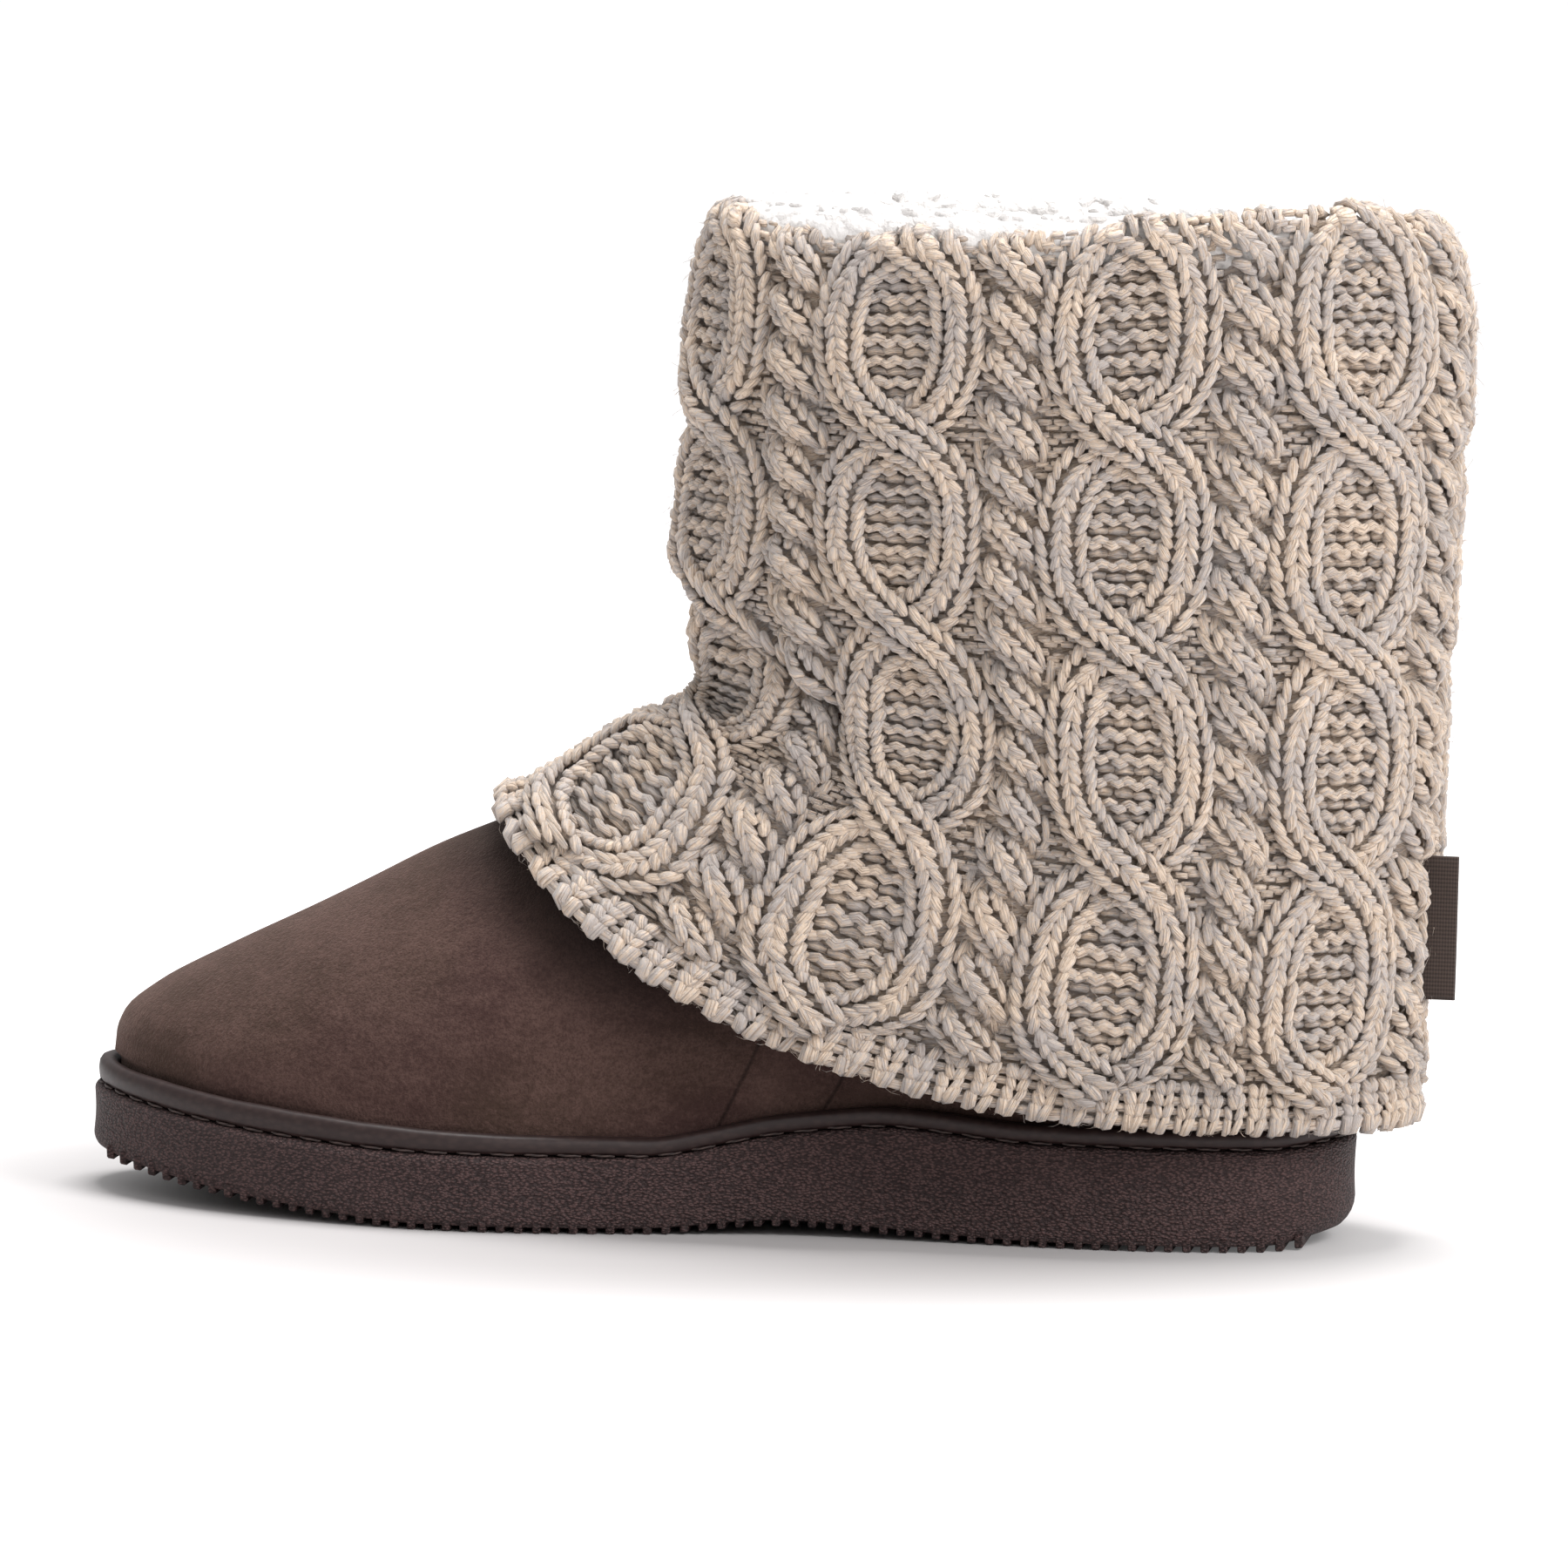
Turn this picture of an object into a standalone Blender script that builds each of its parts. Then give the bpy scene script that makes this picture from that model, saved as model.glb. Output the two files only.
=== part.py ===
"""Slipper boot: a moulded rubber sole, a soft hollow boot upper and a hanging cable-knit cuff.

One left shoe, standing empty on its sole. Metres, +Z up, the toe towards -X and the lateral
side towards -Y. The origin lies on the floor under the middle of the heel.
"""
import math
from collections import namedtuple

import bmesh
import bpy
import numpy as np

# Clearance between pieces that touch on the real shoe
FIT_GAP = 0.0003

# Sole: plan sizes, in order from the heel to the toe
SOLE_LENGTH = 0.268
HEEL_OVERRUN = 0.0355
HEEL_BREADTH = 0.066
WAIST_BREADTH = 0.063
BALL_BREADTH = 0.094
TOE_BREADTH = 0.081
HEEL_END_RADIUS = 0.0300
TOE_END_RADIUS = 0.0280
TOE_INSWING = 0.006
WAIST_OUTSWING = 0.0025

# Sole: heights of its side wall and the lifts of its underside
HEEL_EDGE_HEIGHT = 0.0210
ARCH_EDGE_HEIGHT = 0.0222
BALL_EDGE_HEIGHT = 0.0158
TOE_EDGE_HEIGHT = 0.0138
HEEL_BEVEL = 0.0016
ARCH_LIFT = 0.0021
TOE_SPRING = 0.0078
SOLE_FOOT_RADIUS = 0.0032
SOLE_SHOULDER_RADIUS = 0.0014

# Tread: straight ribs across the sole, with two smooth pads that it stands on
RIB_PITCH = 0.0070
RIB_BREADTH = 0.0022
RIB_DEPTH = 0.0016
PAD_LENGTH = 0.030
PAD_BREADTH = 0.028
HEEL_PAD_PLACE = 0.0
BALL_PAD_PLACE = -0.128

# Welt: the rounded bead that runs on the sole's shoulder
WELT_HEIGHT = 0.0054
WELT_BREADTH = 0.0044
WELT_SETBACK = 0.0007
WELT_ROUNDING = 0.28

# Boot upper
UPPER_WALL = 0.0024
SHAFT_HEIGHT = 0.207
SHAFT_BREADTH = 0.0750
RIDGE_POWER = 4

# Insole
INSOLE_THICKNESS = 0.0050

# Knitted cuff
KNIT_WALL = 0.0034
CABLE_RELIEF = 0.0026
CUFF_BREADTH = 0.0860
CUFF_DROP = 0.1875
RIM_RISE = 0.0020
RIM_DIP = 0.0048
RIM_DIP_FADE = 0.4
UNIT_COUNT = 8
UNIT_BREADTH = 0.0495
ROPE_BREADTH = 0.0137
STRAND_BREADTH = 0.0100
CROSSING_SHARE = 0.12
OVAL_BREADTH = 0.0360
OVAL_HEIGHT = 0.0457
OVAL_FULLNESS = 0.60
FIRST_OVAL_DROP = 0.0205
ROPE_FROM_BACK = 0.0096

# Bare woven tag in the back seam of the cuff
TAG_HEIGHT = 0.0300
TAG_REACH = 0.0052
TAG_THICKNESS = 0.0010
TAG_PLACE = 0.0510
TAG_GAP = 0.0017

# Facets
PLAN_STEPS = 52
CUFF_ROWS = 22
CUFF_LINING_ROWS = 7
ARC_SAMPLES = 240

SoleRow = namedtuple("SoleRow", "share lift edge")
SOLE_ROWS = (
    SoleRow(0.00, HEEL_BEVEL, HEEL_EDGE_HEIGHT),
    SoleRow(0.06, 0.0, HEEL_EDGE_HEIGHT),
    SoleRow(0.24, 0.0, HEEL_EDGE_HEIGHT + 0.2 * (ARCH_EDGE_HEIGHT - HEEL_EDGE_HEIGHT)),
    SoleRow(0.34, 0.5 * ARCH_LIFT, ARCH_EDGE_HEIGHT),
    SoleRow(0.43, ARCH_LIFT, 0.5 * (ARCH_EDGE_HEIGHT + BALL_EDGE_HEIGHT)),
    SoleRow(0.54, 0.0, BALL_EDGE_HEIGHT),
    SoleRow(0.70, 0.0, BALL_EDGE_HEIGHT),
    SoleRow(0.84, 0.33 * TOE_SPRING, 0.5 * (BALL_EDGE_HEIGHT + TOE_EDGE_HEIGHT)),
    SoleRow(1.00, TOE_SPRING, TOE_EDGE_HEIGHT),
)

# Plan of the sole: how broad it is at each share of its length, and how far its middle swings
PlanRow = namedtuple("PlanRow", "share breadth swing")
PLAN_ROWS = (
    PlanRow(0.14, HEEL_BREADTH, 0.0),
    PlanRow(0.40, WAIST_BREADTH, -WAIST_OUTSWING),
    PlanRow(0.68, BALL_BREADTH, -1.2 * WAIST_OUTSWING),
    PlanRow(0.85, TOE_BREADTH, 0.17 * TOE_INSWING),
)

# Upper: level rings from the sole to the collar. Heights are shares of SHAFT_HEIGHT, back and
# front are shares of SOLE_LENGTH from the origin, shaft is how far the ring has changed from
# the foot's plan to the leg's, peak is how much narrower its front end is, so that the instep
# has a rounded ridge, and follow is how closely it still dips and rises with the sole.
UpperRow = namedtuple("UpperRow", "height back front shaft peak follow")
UPPER_ROWS = (
    UpperRow(0.133, 0.1165, -0.8530, 0.00, 0.00, 0.98),
    UpperRow(0.155, 0.1190, -0.8520, 0.02, 0.00, 0.95),
    UpperRow(0.178, 0.1205, -0.8450, 0.05, 0.02, 0.90),
    UpperRow(0.207, 0.1215, -0.8180, 0.10, 0.05, 0.80),
    UpperRow(0.246, 0.1230, -0.7630, 0.18, 0.09, 0.65),
    UpperRow(0.284, 0.1255, -0.7075, 0.27, 0.14, 0.50),
    UpperRow(0.322, 0.1285, -0.6525, 0.37, 0.20, 0.35),
    UpperRow(0.359, 0.1320, -0.5980, 0.47, 0.26, 0.20),
    UpperRow(0.391, 0.1360, -0.5440, 0.56, 0.28, 0.10),
    UpperRow(0.424, 0.1415, -0.4900, 0.66, 0.25, 0.00),
    UpperRow(0.454, 0.1455, -0.4460, 0.75, 0.20, 0.00),
    UpperRow(0.483, 0.1490, -0.4110, 0.83, 0.14, 0.00),
    UpperRow(0.511, 0.1520, -0.3790, 0.90, 0.09, 0.00),
    UpperRow(0.546, 0.1560, -0.3640, 0.96, 0.04, 0.00),
    UpperRow(0.610, 0.1610, -0.3580, 1.00, 0.00, 0.00),
    UpperRow(0.710, 0.1665, -0.3650, 1.00, 0.00, 0.00),
    UpperRow(0.820, 0.1700, -0.3720, 1.00, 0.00, 0.00),
    UpperRow(1.000, 0.1735, -0.3760, 1.00, 0.00, 0.00),
)

# Cuff: rings from the rim to the hem, before the cables are raised on them. Run is the share
# of the cuff's length, back and front are shares of SOLE_LENGTH from the origin, the heights
# are shares of SHAFT_HEIGHT, waist is the breadth as a share of CUFF_BREADTH, heel and instep
# are the roundness of the two ends in the same shares, and lift bends the ring up to its front.
CuffRow = namedtuple("CuffRow", "run back back_height front front_height waist heel instep lift")
CUFF_SECTIONS = (
    CuffRow(0.00, 0.1900, 1.029, -0.3915, 1.017, 0.965, 1.00, 0.98, 1.0),
    CuffRow(0.05, 0.1925, 0.985, -0.3950, 0.972, 0.975, 1.02, 1.00, 1.0),
    CuffRow(0.15, 0.1950, 0.889, -0.4010, 0.889, 0.985, 1.04, 1.02, 1.0),
    CuffRow(0.30, 0.1905, 0.751, -0.4030, 0.763, 0.995, 1.05, 1.02, 1.0),
    CuffRow(0.40, 0.1870, 0.659, -0.4050, 0.686, 1.005, 1.05, 1.02, 1.1),
    CuffRow(0.50, 0.1855, 0.568, -0.3940, 0.604, 1.010, 1.06, 1.02, 1.4),
    CuffRow(0.58, 0.1835, 0.493, -0.3835, 0.546, 1.020, 1.08, 1.06, 1.8),
    CuffRow(0.66, 0.1815, 0.420, -0.3930, 0.522, 1.040, 1.10, 1.14, 2.2),
    CuffRow(0.76, 0.1760, 0.329, -0.4330, 0.500, 1.060, 1.14, 1.28, 2.7),
    CuffRow(0.88, 0.1730, 0.217, -0.4950, 0.446, 1.070, 1.18, 1.45, 3.1),
    CuffRow(1.00, 0.1770, 0.125, -0.5460, 0.416, 1.075, 1.20, 1.72, 3.3),
)

# How far the cuff's rim rises or dips, by share of the way from the back to the front
RimRow = namedtuple("RimRow", "share rise")
RIM_ROWS = (
    RimRow(0.00, 0.0),
    RimRow(0.08, 0.6 * RIM_RISE),
    RimRow(0.16, RIM_RISE),
    RimRow(0.25, 0.8 * RIM_RISE),
    RimRow(0.36, -0.1 * RIM_DIP),
    RimRow(0.46, -0.5 * RIM_DIP),
    RimRow(0.60, -0.8 * RIM_DIP),
    RimRow(0.72, -RIM_DIP),
    RimRow(0.82, -0.9 * RIM_DIP),
    RimRow(0.92, -0.5 * RIM_DIP),
    RimRow(1.00, 0.0),
)

# How far the cuff's columns are drawn back towards the heel at the hem, by share of the half
# circumference from the back
SpreadRow = namedtuple("SpreadRow", "share drawn")
SPREAD_ROWS = (
    SpreadRow(0.000, 0.000),
    SpreadRow(0.360, 0.011),
    SpreadRow(0.610, 0.050),
    SpreadRow(0.875, 0.062),
    SpreadRow(1.000, 0.000),
)


def clear_scene():
    """Remove whatever the scene holds."""
    for obj in list(bpy.data.objects):
        bpy.data.objects.remove(obj, do_unlink=True)


def curve(rows, across, down, at):
    """Read a smooth monotone curve through two columns of a table."""
    xs = np.array([getattr(row, across) for row in rows], dtype=float)
    ys = np.array([getattr(row, down) for row in rows], dtype=float)
    return hermite(xs, ys, at)


def hermite(xs, ys, at):
    """Interpolate without overshoot: a cubic through the points with limited slopes."""
    steps = np.diff(xs)
    rises = np.diff(ys) / steps
    slopes = np.zeros(len(xs))
    slopes[0], slopes[-1] = rises[0], rises[-1]
    for i in range(1, len(xs) - 1):
        if rises[i - 1] * rises[i] > 0:
            slopes[i] = 2.0 * rises[i - 1] * rises[i] / (rises[i - 1] + rises[i])
    at = np.clip(np.asarray(at, dtype=float), xs[0], xs[-1])
    i = np.clip(np.searchsorted(xs, at, side="right") - 1, 0, len(xs) - 2)
    t = (at - xs[i]) / steps[i]
    start = (1 + 2 * t) * (1 - t) ** 2 * ys[i] + t * (1 - t) ** 2 * steps[i] * slopes[i]
    end = t * t * (3 - 2 * t) * ys[i + 1] + t * t * (t - 1) * steps[i] * slopes[i + 1]
    return start + end


def roundness(share):
    """How full an oval is at a share of its length: 0 at both ends and 1 in the middle."""
    return 2.0 * np.sqrt(np.clip(share * (1.0 - share), 0.0, None))


def end_fullness(radius):
    """Half breadth of the oval as long as the sole whose ends have this radius."""
    return math.sqrt(radius * SOLE_LENGTH / 2.0)


def sole_outline(steps, inset=0.0):
    """Plan of the sole, from the heel round the lateral side to the toe and back, moved in."""
    turn = 2.0 * math.pi * np.arange(steps) / steps
    share = (1.0 - np.cos(turn)) / 2.0
    side = -np.sign(np.sin(turn))
    stations = [row.share for row in PLAN_ROWS]
    fullness = [row.breadth / 2.0 / roundness(row.share) for row in PLAN_ROWS]
    swings = [row.swing for row in PLAN_ROWS]
    xs = np.array([0.0] + stations + [1.0])
    full = np.array([end_fullness(HEEL_END_RADIUS)] + fullness + [end_fullness(TOE_END_RADIUS)])
    swing = np.array([0.0] + swings + [TOE_INSWING])
    x = HEEL_OVERRUN - SOLE_LENGTH * share
    y = side * hermite(xs, full, share) * roundness(share) + hermite(xs, swing, share)
    outline = np.stack([x, y], axis=1)
    along = np.roll(outline, -1, axis=0) - np.roll(outline, 1, axis=0)
    along /= np.linalg.norm(along, axis=1)[:, None]
    inward = np.stack([-along[:, 1], along[:, 0]], axis=1)
    return outline - inset * inward * outward_sign(outline, inward)


def outward_sign(outline, normals):
    """1 where the normals of a plan point away from its middle, and -1 where they point in."""
    middle = outline.mean(axis=0)
    return math.copysign(1.0, float(((outline - middle) * normals).sum()))


def sole_share(x):
    """Share of the sole's length, from the heel, at a place along it."""
    return (HEEL_OVERRUN - x) / SOLE_LENGTH


def sole_bottom(x):
    """Height of the underside, which rises behind the heel, under the arch and at the toe."""
    return curve(SOLE_ROWS, "share", "lift", sole_share(x))


def sole_top(x):
    """Height of the sole's shoulder, on which welt, upper and insole lie."""
    return sole_bottom(x) + curve(SOLE_ROWS, "share", "edge", sole_share(x))


def ring(plan, heights):
    """A closed ring of points from a plan and its heights."""
    return np.column_stack([plan, heights])


def loft(name, rings, wrap=False, caps=False):
    """Join rings of equal count into one mesh.

    With wrap, the last ring joins the first, as for a hollow wall or a bead. With caps, each
    end is closed by strips across it, from its lateral to its medial side.
    """
    bm = bmesh.new()
    rows = [[bm.verts.new(point) for point in points] for points in rings]
    count = len(rows[0])
    pairs = list(zip(rows, rows[1:]))
    if wrap:
        pairs.append((rows[-1], rows[0]))
    for low, high in pairs:
        for i in range(count):
            j = (i + 1) % count
            bm.faces.new((low[i], low[j], high[j], high[i]))
    if caps:
        for row in (rows[0], rows[-1]):
            close_across(bm, row)
    bmesh.ops.recalc_face_normals(bm, faces=bm.faces)
    mesh = bpy.data.meshes.new(name)
    bm.to_mesh(mesh)
    bm.free()
    return bpy.data.objects.new(name, mesh)


def close_across(bm, row):
    """Close a ring by strips between points that lie at the same place along it."""
    count = len(row)
    half = count // 2
    for i in range(half):
        corners = [row[i], row[i + 1], row[(count - i - 1) % count], row[(count - i) % count]]
        bm.faces.new(list(dict.fromkeys(corners)))


def dress(obj, collection, colour, roughness_value, smooth_angle=40.0):
    """Give a piece its material and smooth shading, and put it in the shoe's collection."""
    material = bpy.data.materials.new(obj.name)
    material.use_nodes = True
    shader = material.node_tree.nodes["Principled BSDF"]
    shader.inputs["Base Color"].default_value = (*colour, 1.0)
    shader.inputs["Roughness"].default_value = roughness_value
    shader.inputs["Metallic"].default_value = 0.0
    obj.data.materials.append(material)
    obj.data.shade_smooth()
    obj.data.set_sharp_from_angle(angle=math.radians(smooth_angle))
    collection.objects.link(obj)
    return obj


def make_outsole(collection, cutters):
    """The moulded sole: a foot edge, a plumb side, a rounded shoulder and ribs cut below."""
    rings = []
    for inset, rise in ((SOLE_FOOT_RADIUS, 0.0), (0.3 * SOLE_FOOT_RADIUS, 0.3 * SOLE_FOOT_RADIUS)):
        plan = sole_outline(PLAN_STEPS, inset)
        rings.append(ring(plan, sole_bottom(plan[:, 0]) + rise))
    plan = sole_outline(PLAN_STEPS)
    rings.append(ring(plan, sole_bottom(plan[:, 0]) + SOLE_FOOT_RADIUS))
    rings.append(ring(plan, sole_top(plan[:, 0]) - SOLE_SHOULDER_RADIUS))
    plan = sole_outline(PLAN_STEPS, 0.3 * SOLE_SHOULDER_RADIUS)
    rings.append(ring(plan, sole_top(plan[:, 0]) - 0.3 * SOLE_SHOULDER_RADIUS))
    plan = sole_outline(PLAN_STEPS, SOLE_SHOULDER_RADIUS)
    rings.append(ring(plan, sole_top(plan[:, 0])))
    sole = loft("outsole", rings, caps=True)
    grooves = make_grooves(cutters)
    cut = sole.modifiers.new("tread", "BOOLEAN")
    cut.operation = "DIFFERENCE"
    cut.object = grooves
    return dress(sole, collection, (0.052, 0.034, 0.034), 0.62)


def make_grooves(cutters):
    """One cutter of bars across the sole, each stopped short of a pad where it meets one."""
    bm = bmesh.new()
    first = HEEL_OVERRUN - SOLE_LENGTH + RIB_PITCH
    last = HEEL_OVERRUN - RIB_PITCH
    count = int((last - first) / RIB_PITCH) + 1
    reach = BALL_BREADTH
    for i in range(count):
        x = first + i * RIB_PITCH
        spans = [(-reach, reach)]
        for place in (HEEL_PAD_PLACE, BALL_PAD_PLACE):
            if abs(x - place) < (PAD_LENGTH + RIB_PITCH) / 2.0:
                spans = [(-reach, -PAD_BREADTH / 2.0), (PAD_BREADTH / 2.0, reach)]
        for low, high in spans:
            add_groove(bm, x, low, high)
    mesh = bpy.data.meshes.new("tread_grooves")
    bm.to_mesh(mesh)
    bm.free()
    grooves = bpy.data.objects.new("tread_grooves", mesh)
    grooves.hide_render = True
    grooves.display_type = "WIRE"
    cutters.objects.link(grooves)
    return grooves


def add_groove(bm, x, low, high):
    """Add one bar between two ribs, its top at the tread's depth."""
    breadth = RIB_PITCH - RIB_BREADTH
    height = 4.0 * RIB_DEPTH
    top = float(sole_bottom(x)) + RIB_DEPTH
    slope = float(sole_bottom(x + breadth / 2.0) - sole_bottom(x - breadth / 2.0)) / breadth
    made = bmesh.ops.create_cube(bm, size=1.0)
    for vert in made["verts"]:
        along, across, up = vert.co
        vert.co = (
            x + along * breadth,
            (low + high) / 2.0 + across * (high - low),
            top - height / 2.0 + up * height + along * breadth * slope,
        )


def make_welt(collection):
    """The bead on the sole's shoulder: a rounded strip, closed round the shoe."""
    outer = WELT_SETBACK
    inner = WELT_SETBACK + WELT_BREADTH
    round_off = WELT_ROUNDING * WELT_HEIGHT
    section = (
        (outer + round_off, 0.0),
        (outer, round_off),
        (outer, WELT_HEIGHT - round_off),
        (outer + round_off, WELT_HEIGHT),
        (inner, WELT_HEIGHT - 0.5 * round_off),
        (inner, 0.0),
    )
    rings = []
    for inset, rise in section:
        plan = sole_outline(PLAN_STEPS, inset)
        rings.append(ring(plan, sole_top(plan[:, 0]) + FIT_GAP + rise))
    return dress(loft("welt", rings, wrap=True), collection, (0.068, 0.047, 0.048), 0.40)


def upper_inset():
    """How far inside the sole's outline the upper's outer face meets the sole."""
    return WELT_SETBACK + WELT_BREADTH + FIT_GAP


def upper_rings():
    """Outer face of the upper, from the ring that meets the sole to the collar."""
    foot = sole_outline(PLAN_STEPS, upper_inset())
    seat = sole_top(foot[:, 0]) + FIT_GAP
    heel, toe = foot[:, 0].max(), foot[:, 0].min()
    share = (heel - foot[:, 0]) / (heel - toe)
    side = np.sign(foot[:, 1] - np.interp(share, (0.0, 1.0), (0.0, TOE_INSWING)))
    leg = side * roundness(share) * SHAFT_BREADTH / 2.0
    rings = [ring(foot, seat), ring(foot, seat + WELT_HEIGHT + FIT_GAP)]
    for row in UPPER_ROWS:
        back, front = row.back * SOLE_LENGTH, row.front * SOLE_LENGTH
        x = back - (back - front) * share
        y = foot[:, 1] * (1.0 - row.shaft) + leg * row.shaft
        y = y * (1.0 - row.peak * share ** RIDGE_POWER)
        level = row.height * SHAFT_HEIGHT
        z = level + row.follow * (seat - HEEL_EDGE_HEIGHT - FIT_GAP)
        rings.append(ring(np.column_stack([x, y]), z))
    return rings


def make_upper(collection):
    """The soft boot: vamp, quarters and shaft as one hollow wall, open above and below."""
    upper = loft("upper", upper_rings())
    wall = upper.modifiers.new("wall", "SOLIDIFY")
    wall.thickness = UPPER_WALL
    wall.offset = -1.0
    return dress(upper, collection, (0.098, 0.062, 0.050), 0.95)


def make_insole(collection):
    """The footbed: a pad on the sole, inside the upper."""
    inset = upper_inset() + UPPER_WALL + FIT_GAP
    edge = 0.3 * INSOLE_THICKNESS
    rings = []
    for inward, rise in ((0.0, 0.0), (0.0, INSOLE_THICKNESS - edge), (edge, INSOLE_THICKNESS)):
        plan = sole_outline(PLAN_STEPS, inset + inward)
        rings.append(ring(plan, sole_top(plan[:, 0]) + FIT_GAP + rise))
    return dress(loft("insole", rings, caps=True), collection, (0.86, 0.84, 0.80), 0.98)


def cuff_ground(run, shares):
    """Points of the cuff's level surface at one run, at shares of its circumference.

    Shares go from the back seam round the lateral side to the front and back again.
    """
    row = {
        name: float(curve(CUFF_SECTIONS, "run", name, run))
        for name in CuffRow._fields
        if name != "run"
    }
    turn = math.pi * np.arange(ARC_SAMPLES + 1) / ARC_SAMPLES
    share = (1.0 - np.cos(turn)) / 2.0
    back, front = row["back"] * SOLE_LENGTH, row["front"] * SOLE_LENGTH
    ends = np.array([row["heel"], row["waist"], row["instep"]])
    full = hermite(np.array([0.0, 0.5, 1.0]), ends, share) * CUFF_BREADTH / 2.0
    low, high = row["back_height"] * SHAFT_HEIGHT, row["front_height"] * SHAFT_HEIGHT
    rise = curve(RIM_ROWS, "share", "rise", share) * max(0.0, 1.0 - run / RIM_DIP_FADE)
    x = back - (back - front) * share
    y = -full * roundness(share)
    z = low + (high - low) * share ** row["lift"] + rise
    steps = np.sqrt(np.diff(x) ** 2 + np.diff(y) ** 2 + np.diff(z) ** 2)
    walked = np.concatenate([[0.0], np.cumsum(steps)])
    shares = np.asarray(shares, dtype=float) % 1.0
    far_side = shares > 0.5
    half_share = np.where(far_side, 2.0 - 2.0 * shares, 2.0 * shares)
    drawn = half_share - run * curve(SPREAD_ROWS, "share", "drawn", half_share)
    places = drawn * walked[-1]
    points = np.column_stack([np.interp(places, walked, column) for column in (x, y, z)])
    points[far_side, 1] *= -1.0
    return points


def cuff_ring(run, shares, out):
    """Points of the cuff at one run, moved out of its level surface by a length or lengths."""
    shares = np.asarray(shares, dtype=float)
    nudge = 1.0 / ARC_SAMPLES
    above, below = max(run - nudge, 0.0), min(run + nudge, 1.0)
    around = cuff_ground(run, shares + nudge) - cuff_ground(run, shares - nudge)
    down = cuff_ground(below, shares) - cuff_ground(above, shares)
    normals = np.cross(around, down)
    normals /= np.linalg.norm(normals, axis=1)[:, None]
    return cuff_ground(run, shares) + normals * np.broadcast_to(out, shares.shape)[:, None]


def cable_columns(drop):
    """Places across one knitted unit, and their heights, at one drop below the rim.

    A unit holds a rope and a pair of strands that part and cross again. Each ridge has a line
    of points on its crest and one at each foot.
    """
    rope = ROPE_BREADTH / 2.0
    oval = rope + UNIT_BREADTH / 2.0
    widest = (OVAL_BREADTH - STRAND_BREADTH) / 2.0
    closest = CROSSING_SHARE * STRAND_BREADTH
    sway = abs(math.cos(math.pi * (drop - FIRST_OVAL_DROP) / OVAL_HEIGHT)) ** OVAL_FULLNESS
    apart = closest + (widest - closest) * sway
    foot = STRAND_BREADTH / 2.0
    inner = max(apart - foot, 0.4 * closest)
    crest = CABLE_RELIEF
    return (
        (rope - ROPE_BREADTH / 2.0, 0.0),
        (rope, crest),
        (rope + ROPE_BREADTH / 2.0, 0.0),
        (oval - apart - foot, 0.0),
        (oval - apart, crest),
        (oval - inner, crest * (1.0 - sway) ** 2),
        (oval + inner, crest * (1.0 - sway) ** 2),
        (oval + apart, crest),
        (oval + apart + foot, 0.0),
    )


def cuff_row(run, out):
    """One ring of the cuff with its cables raised, or level when out is given."""
    around = UNIT_COUNT * UNIT_BREADTH
    start = ROPE_FROM_BACK - ROPE_BREADTH / 2.0
    columns = cable_columns(run * CUFF_DROP)
    places = [
        start + unit * UNIT_BREADTH + place
        for unit in range(UNIT_COUNT)
        for place, _ in columns
    ]
    raised = [height for _ in range(UNIT_COUNT) for _, height in columns]
    shares = np.array(places) / around
    return cuff_ring(run, shares, np.array(raised) if out is None else out)


def make_cuff(collection):
    """The knitted cuff: one hollow sleeve with raised cables, level on its inner face."""
    outer = [cuff_row(i / CUFF_ROWS, None) for i in range(CUFF_ROWS + 1)]
    inner = [
        cuff_row(1.0 - i / CUFF_LINING_ROWS, -KNIT_WALL) for i in range(CUFF_LINING_ROWS + 1)
    ]
    cuff = loft("knit_cuff", outer + inner, wrap=True)
    return dress(cuff, collection, (0.54, 0.47, 0.40), 0.95)


def make_tag(collection):
    """The bare woven tag that stands out of the cuff's back seam."""
    runs = np.linspace(0.0, 1.0, ARC_SAMPLES)
    seam = np.array([cuff_ground(run, [0.0])[0] for run in runs])
    ends = [TAG_PLACE, TAG_PLACE + TAG_HEIGHT]
    roots = [float(np.interp(z, seam[::-1, 2], seam[::-1, 0])) for z in ends]
    bpy.ops.mesh.primitive_cube_add(size=1.0)
    tag = bpy.context.active_object
    tag.name = "back_tag"
    tag.data.name = "back_tag"
    for vert in tag.data.vertices:
        high = int(vert.co.z > 0.0)
        far = TAG_REACH if vert.co.x > 0.0 else 0.0
        vert.co = (roots[high] + TAG_GAP + far, vert.co.y * TAG_THICKNESS, ends[high])
    for home in list(tag.users_collection):
        home.objects.unlink(tag)
    return dress(tag, collection, (0.060, 0.040, 0.034), 0.85)


def main():
    """Build the shoe, piece by piece from the floor up."""
    clear_scene()
    shoe = bpy.data.collections.new("slipper_boot")
    cutters = bpy.data.collections.new("cutters")
    for collection in (shoe, cutters):
        bpy.context.scene.collection.children.link(collection)
    make_outsole(shoe, cutters)
    make_welt(shoe)
    make_upper(shoe)
    make_insole(shoe)
    make_cuff(shoe)
    make_tag(shoe)


main()
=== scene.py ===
"""Slipper boot: the finishes and fine forms of the shoe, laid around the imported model.

One left shoe on a pale floor, seen from its lateral side. Metres, +Z up, the toe towards -X.
"""
import logging
import math
from dataclasses import dataclass
from enum import Enum, IntEnum
from typing import Callable, NamedTuple

import bpy
import numpy as np
from mathutils import Matrix, Vector, noise


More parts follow.
